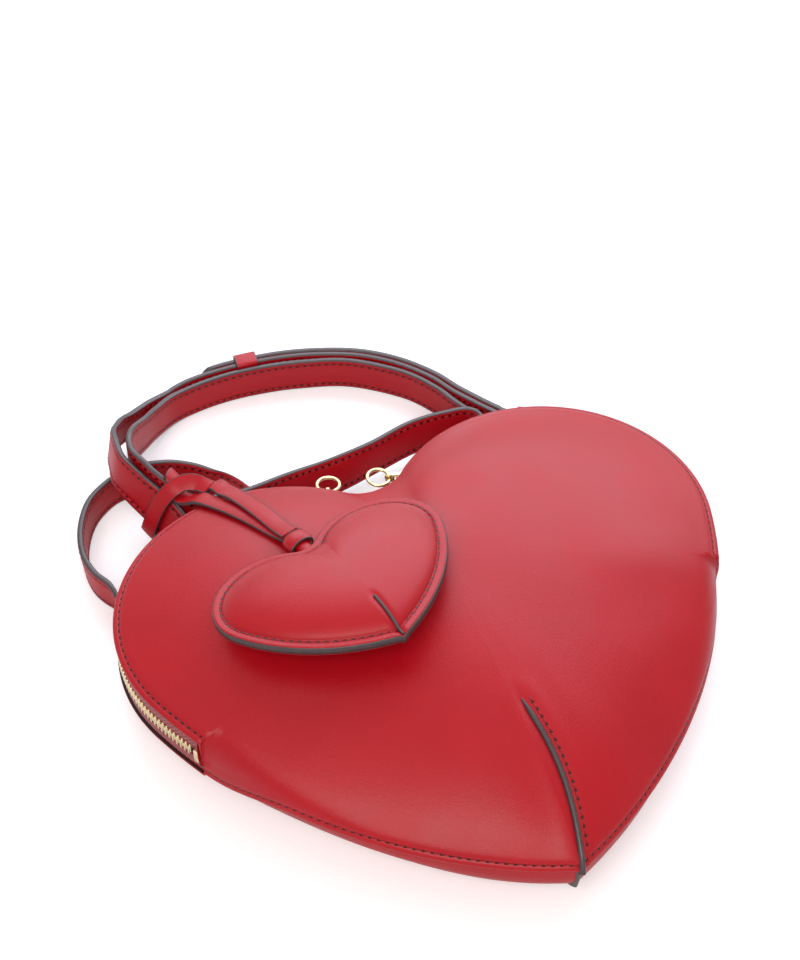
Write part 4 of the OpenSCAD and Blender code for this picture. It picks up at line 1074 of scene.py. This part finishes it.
# the buckle's heel bar stands upright; each far end of the strap folds round its ring's flat bar
buckle_bar, buckle_len, prong_r, prong_hole = 2.4, 17.0, 1.1, 2.4
buckle_place = np.array([0.749 * half_w, 0.653 * half_w, (0.2 + 0.5) * strap_w])
buckle_angle = math.radians(-30)
buckle_way = np.array([math.cos(buckle_angle), math.sin(buckle_angle), 0])
heel_in = buckle_bar / 2 + 0.2
heel_slot = prong_r + 1.0
heel_side = strap_w / 2 - heel_slot
bar_wire, fold_gap, fold_t = 2.2, 0.25, 1.6
fold_in = bar_wire / 2 + fold_gap
fold_out = fold_in + fold_t
ring_z = fold_out + 2 * soft_gap
across_x, upright = np.array([1.0, 0, 0]), np.array([0, 0, 1.0])


def ring_bar(route, end):
    """Middle of the ring's bar that a strap's end folds round."""
    foot, width, face, run = strap_frames(route, 3)
    middle = (foot + width * strap_w / 2)[end]
    return np.array([middle[0], route[end][1] - fold_out + fold_t / 2, ring_z])


left_bar, right_bar = ring_bar(short_route, 0), ring_bar(long_route, -1)
heel_folds = [
    end_fold("heel_fold", buckle_place + upright * sign * (heel_slot + heel_side / 2), upright,
             heel_in, heel_in + strap_t, heel_side) for sign in (1, -1)]
make_strap("short_strap", short_route, "strap_short", heel_folds + [
    end_fold("ring_fold", left_bar, across_x, fold_in, fold_out, strap_w)])

# adjusting holes, and the one that the prong goes through
hole_d = 2.6
hole_stops = (13, 16, 19, 22)
foot, width, face, run = strap_frames(long_route, 3)
prong_angle = math.asin((buckle_bar / 2 + prong_r + soft_gap) / buckle_len)
prong_way = buckle_way * math.cos(prong_angle) - upright * math.sin(prong_angle)
strap_holes = [(foot[i] + width[i] * strap_w / 2, face[i], hole_d / 2, 3 * strap_t)
               for i in hole_stops]
strap_holes.append((buckle_place + prong_way * buckle_len / 2, prong_way, prong_hole, buckle_len))
make_strap("long_strap", long_route, "strap_long", [
    end_fold("ring_fold", right_bar, across_x, fold_in, fold_out, strap_w)],
    strap_holes, has_tail=True)

# Buckle and keepers
# A rectangular wire buckle with a single prong, and two narrow bands of the strap's leather, one
# sewn in place and one that slides.
softened("buckle_frame", "buckle_frame_metal", "bag", "gold_metal", gold, 0.02, 1)
softened("buckle_prong", "buckle_prong_metal", "prong", "gold_metal", gold, 0.02, 1)
keeper_t, keeper_len, keep_gap, keep_room, keeper_corner = 1.0, 10.0, 0.35, 0.5, 0.9
# each keeper's stop on the short strap's route and on the long one's
fixed_stops, loose_stops = (119, 29), (94, 4)


def make_keeper(name, node, body, centre, heading, room):
    """A band of the strap's leather, its two cut edges painted and its ends butted and sewn."""
    ahead = np.array([math.cos(heading), math.sin(heading), 0])
    level = np.array([-ahead[1], ahead[0], 0])
    half_y = strap_t + (room + 2 * keep_gap + keeper_t) / 2
    half_z = strap_w / 2 + keep_gap + keeper_t / 2
    path, out = [], []
    for k, (sy, sz) in enumerate(((1, 1), (-1, 1), (-1, -1), (1, -1))):
        for turn in np.radians(np.linspace(0, 90, 5) + 90 * k):
            way = level * math.cos(turn) + upright * math.sin(turn)
            path.append(centre + level * sy * (half_y - keeper_corner)
                        + upright * sz * (half_z - keeper_corner) + way * keeper_corner)
            out.append(way)
    path, out = np.array(path), np.array(out)
    ways = np.tile(ahead, (len(path), 1))
    h, t = keeper_len / 2 - 0.3, keeper_t / 2
    section = [(-h, t - 0.1), (-h + 0.4, t), (0, t + 0.03), (h - 0.4, t), (h, t - 0.1),
               (h, -t), (-h, -t)]
    band = loft(name + "_leather", path, ways, out, section, closed=True)
    beads = [loft(name + "_bead", path + ways * k * h, out, ways * k, half_round(keeper_t, 0.3),
                  closed=True) for k in (1, -1)]
    place(join(beads, name + "_edge_paint"), body, "edge_paint", edge_paint)
    place(band, body, "leather", leather, node)


def lapped(i, j):
    """Midway between a stop on the short strap and one on the long strap."""
    short, long = strap_frames(short_route, 3), strap_frames(long_route, 3)
    return (short[0][i] + short[1][i] * strap_w / 2 + long[0][j] + long[1][j] * strap_w / 2) / 2


slide_foot = strap_frames(short_route, 3)[0]
slide_way = slide_foot[loose_stops[0] + 1] - slide_foot[loose_stops[0] - 1]
make_keeper("fixed_keeper", "fixed_keeper", "bag", lapped(*fixed_stops), buckle_angle,
            2 * keep_room)
make_keeper("sliding_keeper", "sliding_keeper", "keeper", lapped(*loose_stops),
            math.atan2(slide_way[1], slide_way[0]), keep_room)

# Charm
# A flat padded heart: two skins of the same leather sewn together 3 mm from their edge over a
# pad, with a small dart at the tip. Its double edge is painted as one.
charm_w, charm_len, charm_edge = 98.6, 72.6, 2.0
charm_top, charm_under, charm_seat = 8.0, 2.5, 2.5
charm_spot = np.array([
    -0.313 * half_w, -0.05 * half_w, crown_z + charm_seat + 0.85 * charm_under + 2 * charm_edge])
charm_turn, charm_lean_x, charm_lean_y = 13.1, 10.0, -3.0
charm_mid_y = -0.186 * tip_y
charm_lip = 3.7
charm_round, charm_puff = 2.5, 0.66
charm_pinch, charm_pinch_w = 0.9, 1.5
charm_groove, charm_groove_w = 0.18, 0.5
charm_scale = np.array([charm_w / (2 * half_w), charm_len / (lobe_y + lobe_r + tip_y)])
charm_rim = (rim - [0, charm_mid_y]) * charm_scale
charm_lay = (Matrix.Rotation(math.radians(charm_lean_y), 3, "Y")
             @ Matrix.Rotation(math.radians(-charm_lean_x), 3, "X")
             @ Matrix.Rotation(math.radians(charm_turn), 3, "Z"))
charm_lay = np.array(charm_lay)


def on_charm(points):
    """Places given in the charm's own frame, brought to where it lies on the bag."""
    return charm_spot + np.asarray(points, float) @ charm_lay.T


charm_dart = charm_rim[tip_i] * np.linspace(0.985, 0.5, 14)[:, None]


def charm_face(spots, edge, dome, base, rise):
    """Height of one face of the charm: a flat sewn lip, then a dome with a pinch at its dart."""
    z = base + rise * (1 - dome ** charm_round) ** charm_puff
    gap = np.min(np.linalg.norm(spots[:, None] - charm_dart, axis=-1), -1)
    z = z - charm_pinch * np.exp(-(gap / charm_pinch_w) ** 2) * (rise > 0)
    z = z - np.sign(rise) * charm_groove * np.exp(
        -((edge - charm_lip + 0.7) / charm_groove_w) ** 2)
    return z - np.sign(rise) * 0.35 * np.clip(1 - edge / 0.5, 0, 1) ** 2


def charm_rows(base, rise):
    """Rings over one face of the charm, from its edge to its middle."""
    lip_steps = [0, 0.25, 0.6, 1.1, 1.8, 2.4, 2.7, 3.0, 3.3, charm_lip]
    rings = [(inset(charm_rim, tip_i, d), d, 1.0) for d in lip_steps]
    last = rings[-1][0]
    rings += [(last * (1 - t ** 1.7), 99.0, 1 - t ** 1.7) for t in np.linspace(0, 1, 26)[1:]]
    rows = [np.column_stack([r, charm_face(r, d, dome, base, rise)]) for r, d, dome in rings]
    return np.array([on_charm(np.vstack([r, r[:1]])) for r in rows])


charm_stitch_row = 7
top_rows = charm_rows(0.0, charm_top)
charm_skin = lay("charm_top_skin", top_rows)
apply_modifier(charm_skin, "SOLIDIFY", thickness=charm_edge * MM, offset=-1)
place(charm_skin, "charm", "leather", leather, "charm_top_leather")
under_rows = charm_rows(-2 * charm_edge - 0.1, -charm_under)
charm_base = lay("charm_under_skin", under_rows, flip=True)
apply_modifier(charm_base, "SOLIDIFY", thickness=charm_edge * MM, offset=-1)
place(charm_base, "charm", "leather", leather, "charm_back_leather")

# a pad of polyester wadding between the two skins
wadding, tree, shader = new_material("polyester_wadding")
fluff = add_node(tree, "ShaderNodeTexNoise", inputs={
    "Vector": add_node(tree, "ShaderNodeTexCoord").outputs["Object"],
    "Scale": 1 / (2.0 * MM), "Detail": 4.0})
tone = add_node(tree, "ShaderNodeMix", {"data_type": "RGBA"}, {
    "Factor": fluff.outputs[0], 6: colour("#D8D4CA"), 7: colour("#F2EFE8")})
tree.links.new(tone.outputs[2], shader.inputs["Base Color"])
tufts = add_node(tree, "ShaderNodeBump", inputs={
    "Strength": 0.8, "Distance": 0.5 * MM, "Height": fluff.outputs[0]})
tree.links.new(tufts.outputs[0], shader.inputs["Normal"])
shader.inputs["Roughness"].default_value = 0.9
pad_edge = inset(charm_rim, tip_i, charm_lip)
pad_rows = []
for low, rise, domes in ((-charm_edge - 0.4, charm_top, np.linspace(0, 0.93, 12)),
                         (-charm_edge + 0.3, -charm_under, np.linspace(0.93, 0, 12))):
    for dome in domes:
        height = low + rise * (1 - dome ** charm_round) ** charm_puff
        ring = np.column_stack([pad_edge * dome, np.full(len(pad_edge), height)])
        pad_rows.append(on_charm(np.vstack([ring, ring[:1]])))
pad = lay("charm_pad_wadding", pad_rows[::-1])
apply_modifier(pad, "SMOOTH", factor=0.5, iterations=3)
place(pad, "charm", "wadding", wadding, "charm_padding")

charm_thick = 2 * charm_edge + 0.1
charm_up = charm_lay @ np.array([0, 0, 1.0])
rim_path = top_rows[0, :-1] - charm_up * (charm_thick / 2 - 0.5)
charm_out = np.column_stack([outward(charm_rim, tip_i), np.zeros(len(charm_rim))]) @ charm_lay.T
charm_ups = np.tile(charm_up, (len(rim_path), 1))
place(loft("charm_edge_paint", rim_path, charm_ups, charm_out,
           half_round(charm_thick - 0.9, 0.45, sink=0.3), closed=True),
      "charm", "edge_paint", edge_paint)
top_normals = surface_normals(top_rows)
sew("charm_stitching", top_rows[charm_stitch_row, :-1], top_normals[charm_stitch_row], "charm",
    closed=True)

dome_tip = inset(charm_rim, tip_i, charm_lip)[tip_i]
dart_dome = np.clip(np.linalg.norm(charm_dart, axis=1) / np.linalg.norm(dome_tip), 0, 1)
dart_z = charm_top * (1 - dart_dome ** charm_round) ** charm_puff - 0.75
on_dart = on_charm(np.column_stack([charm_dart, dart_z]))
along = way_along(on_dart)
dart_cross = unit(np.cross(along, charm_up))
place(loft("charm_dart_ridge", on_dart, dart_cross, np.cross(dart_cross, along),
           half_round(1.3, 0.9, sink=0.5)), "charm", "edge_paint", edge_paint, "charm_dart_welt")

# Charm's strip and knot
# One narrow strip of the leather, folded in half: its fold goes round both runs of the strap,
# and its two tails run back over the bag's edge into a knot at the charm's notch.
strip_w, strip_t = 7.0, 1.5
knot_len, knot_side, knot_round = 8.5, 2.2, 1.0
knot_w, knot_t = strip_w + 2 * knot_side, 2 * strip_t + 3.6
knot_near = (notch_y - charm_mid_y) * charm_scale[1] + knot_side
knot_z = -charm_edge + 3 * soft_gap
knot_far = on_charm([0, knot_near + knot_len + 4 * soft_gap, knot_z])
strip_side = np.array([0.92, 0.39])
strip_rise = strip_t + 2 * soft_gap
past_share = 1.05
foot, width, face, run = strap_frames(short_route, 3)
hitch_i = 67
hitch_mid = foot[hitch_i] + width[hitch_i] * strap_w / 2
hitch_run = run[hitch_i]


def hitch(f, w, t):
    """Place on the loop, in shares of the strap's width across its face, its width and its run."""
    return hitch_mid + strap_w * (f * face[hitch_i] + w * width[hitch_i] + t * hitch_run)


def top_height(spot):
    """Height of the bag's front at a place, and of the table past its edge."""
    turn = math.atan2(spot[1], spot[0])
    far = np.interp(turn, rim_angle, np.hypot(rim[:, 0], rim[:, 1]), period=2 * np.pi)
    inside = np.hypot(*spot) / far <= past_share
    return float(front_height(np.array(spot)[None])[0]) if inside else 0.0


low_end, high_end = hitch(0.05, 0.77, -0.33), hitch(-0.2, 1.44, -0.74)
strip_half = strip_side * strip_w / 2


def tail_point(t, layer):
    """Middle of a tail at a share of the way from the knot to the strap."""
    end = high_end if layer else low_end
    spot = knot_far[:2] * (1 - t) + end[:2] * t
    rest = strip_t + max(
        top_height(spot - strip_half), top_height(spot), top_height(spot + strip_half))
    line = (knot_far[2] - strip_rise / 2) * (1 - t) + end[2] * t
    return np.array([*spot, max(rest, line) + layer * strip_rise])


def tail_side(t, layer):
    """Width direction of a tail, leaning with the bag's surface under it."""
    spot = tail_point(t, layer)[:2]
    lean = (top_height(spot + strip_half) - top_height(spot - strip_half)) / 2
    return np.array([*strip_half, lean if 0 < t < 0.7 else 0.0])


loop_shares = [
    [-0.1, 0.88, 0.1], [-0.32, 0.9, 0.2], [-0.55, 0.6, 0.25], [-0.7, 0, 0.14], [-0.6, -0.42, -0.04],
    [-0.25, -0.66, -0.2], [0.08, -0.68, -0.3], [0.23, -0.36, -0.26], [0.27, 0.06, -0.16],
    [0.27, 0.45, -0.1], [0.2, 0.85, -0.11], [0, 1.12, -0.2], [-0.14, 1.3, -0.42]]
tail_shares = [0, 0.12, 0.26, 0.4, 0.54, 0.68, 0.8, 0.9]
end_side = np.array([*strip_half, 0]) + hitch_run
stops = [(tail_point(t, 0), tail_side(t, 0)) for t in tail_shares] + [(low_end, end_side)]
stops += [(hitch(*q), hitch_run) for q in loop_shares] + [(high_end, end_side)]
stops += [(tail_point(t, 1), tail_side(t, 1)) for t in tail_shares[::-1]]
strip_curve = smooth_curve([[*p, *unit(v)] for p, v in stops], 6)
strip_line, strip_across = strip_curve[:, :3], strip_curve[:, 3:]
along = way_along(strip_line)
strip_across = unit(strip_across - along * np.sum(strip_across * along, 1, keepdims=True))
strip_face = np.cross(along, strip_across)
reach, half_t = strip_w / 2, strip_t / 2
strip_section = [(-reach + 0.15, half_t - 0.15), (-reach + 0.6, half_t), (0, half_t + 0.08),
                 (reach - 0.6, half_t), (reach - 0.15, half_t - 0.15)]
strip_section += [(a, -b) for a, b in strip_section[::-1]]
strip_piece = loft("charm_strip_leather", strip_line, strip_across, strip_face, strip_section)
strip_edges = [loft("charm_strip_bead", strip_line + strip_across * side * (reach - 0.15),
                    strip_face, strip_across * side, half_round(strip_t * 0.94, 0.3, sink=0.1))
               for side in (1, -1)]
strip_paint = join(strip_edges, "charm_strip_edge_paint")
place(strip_piece, "bag", "leather", leather, "charm_strip")
place(strip_paint, "bag", "edge_paint", edge_paint)

# the knot: a turn of the strip drawn tight round the tails, and its end going into the charm
knot_mid = np.array([0, knot_near + knot_len / 2, knot_z])
turn = np.linspace(0, 2 * np.pi, 49)[:-1]
ring_x, ring_z = knot_w / 2 - knot_round, knot_t / 2 - knot_round
ring_line = np.stack([ring_x * np.cos(turn), 0.5 * np.sin(turn + 0.6), ring_z * np.sin(turn)], 1)
ring_out = unit(np.stack([np.cos(turn) / ring_x, 0 * turn, np.sin(turn) / ring_z], 1))
ring_line = on_charm(ring_line + knot_mid)
ring_out = ring_out @ charm_lay.T
ring_side = np.tile(charm_lay @ np.array([0, 1.0, 0]), (len(turn), 1))
band_w = knot_len * 0.8
band_section = [(-band_w / 2, 0.3), (-band_w / 3, 0.85), (0, 1.05), (band_w / 3, 0.85),
                (band_w / 2, 0.3), (band_w / 2, -0.7), (-band_w / 2, -0.7)]
place(loft("charm_knot_turn", ring_line, ring_side, ring_out, band_section, closed=True),
      "charm", "leather", leather, "charm_knot")
beads = [loft("charm_knot_bead", ring_line + ring_side * k * band_w / 2, ring_out, ring_side * k,
              half_round(1.2, 0.35), closed=True) for k in (1, -1)]
place(join(beads, "charm_knot_edge_paint"), "charm", "edge_paint", edge_paint)
neck = np.linspace(0, 1, 9)[:, None]
neck_line = np.array([0, knot_near + knot_len, knot_z]) * (1 - neck) + np.array(
    [0, knot_near - 5.0, -charm_edge]) * neck
neck_line = on_charm(neck_line)
neck_side = np.tile(charm_lay @ np.array([1.0, 0, 0]), (len(neck_line), 1))
neck_up = np.tile(charm_up, (len(neck_line), 1))
turn = np.linspace(0, 2 * np.pi, 17)[:-1]
neck_section = np.stack([strip_w * 0.46 * np.cos(turn), 1.9 * np.sin(turn)], 1)
place(loft("charm_knot_end", neck_line, neck_side, neck_up, neck_section),
      "charm", "leather", leather)
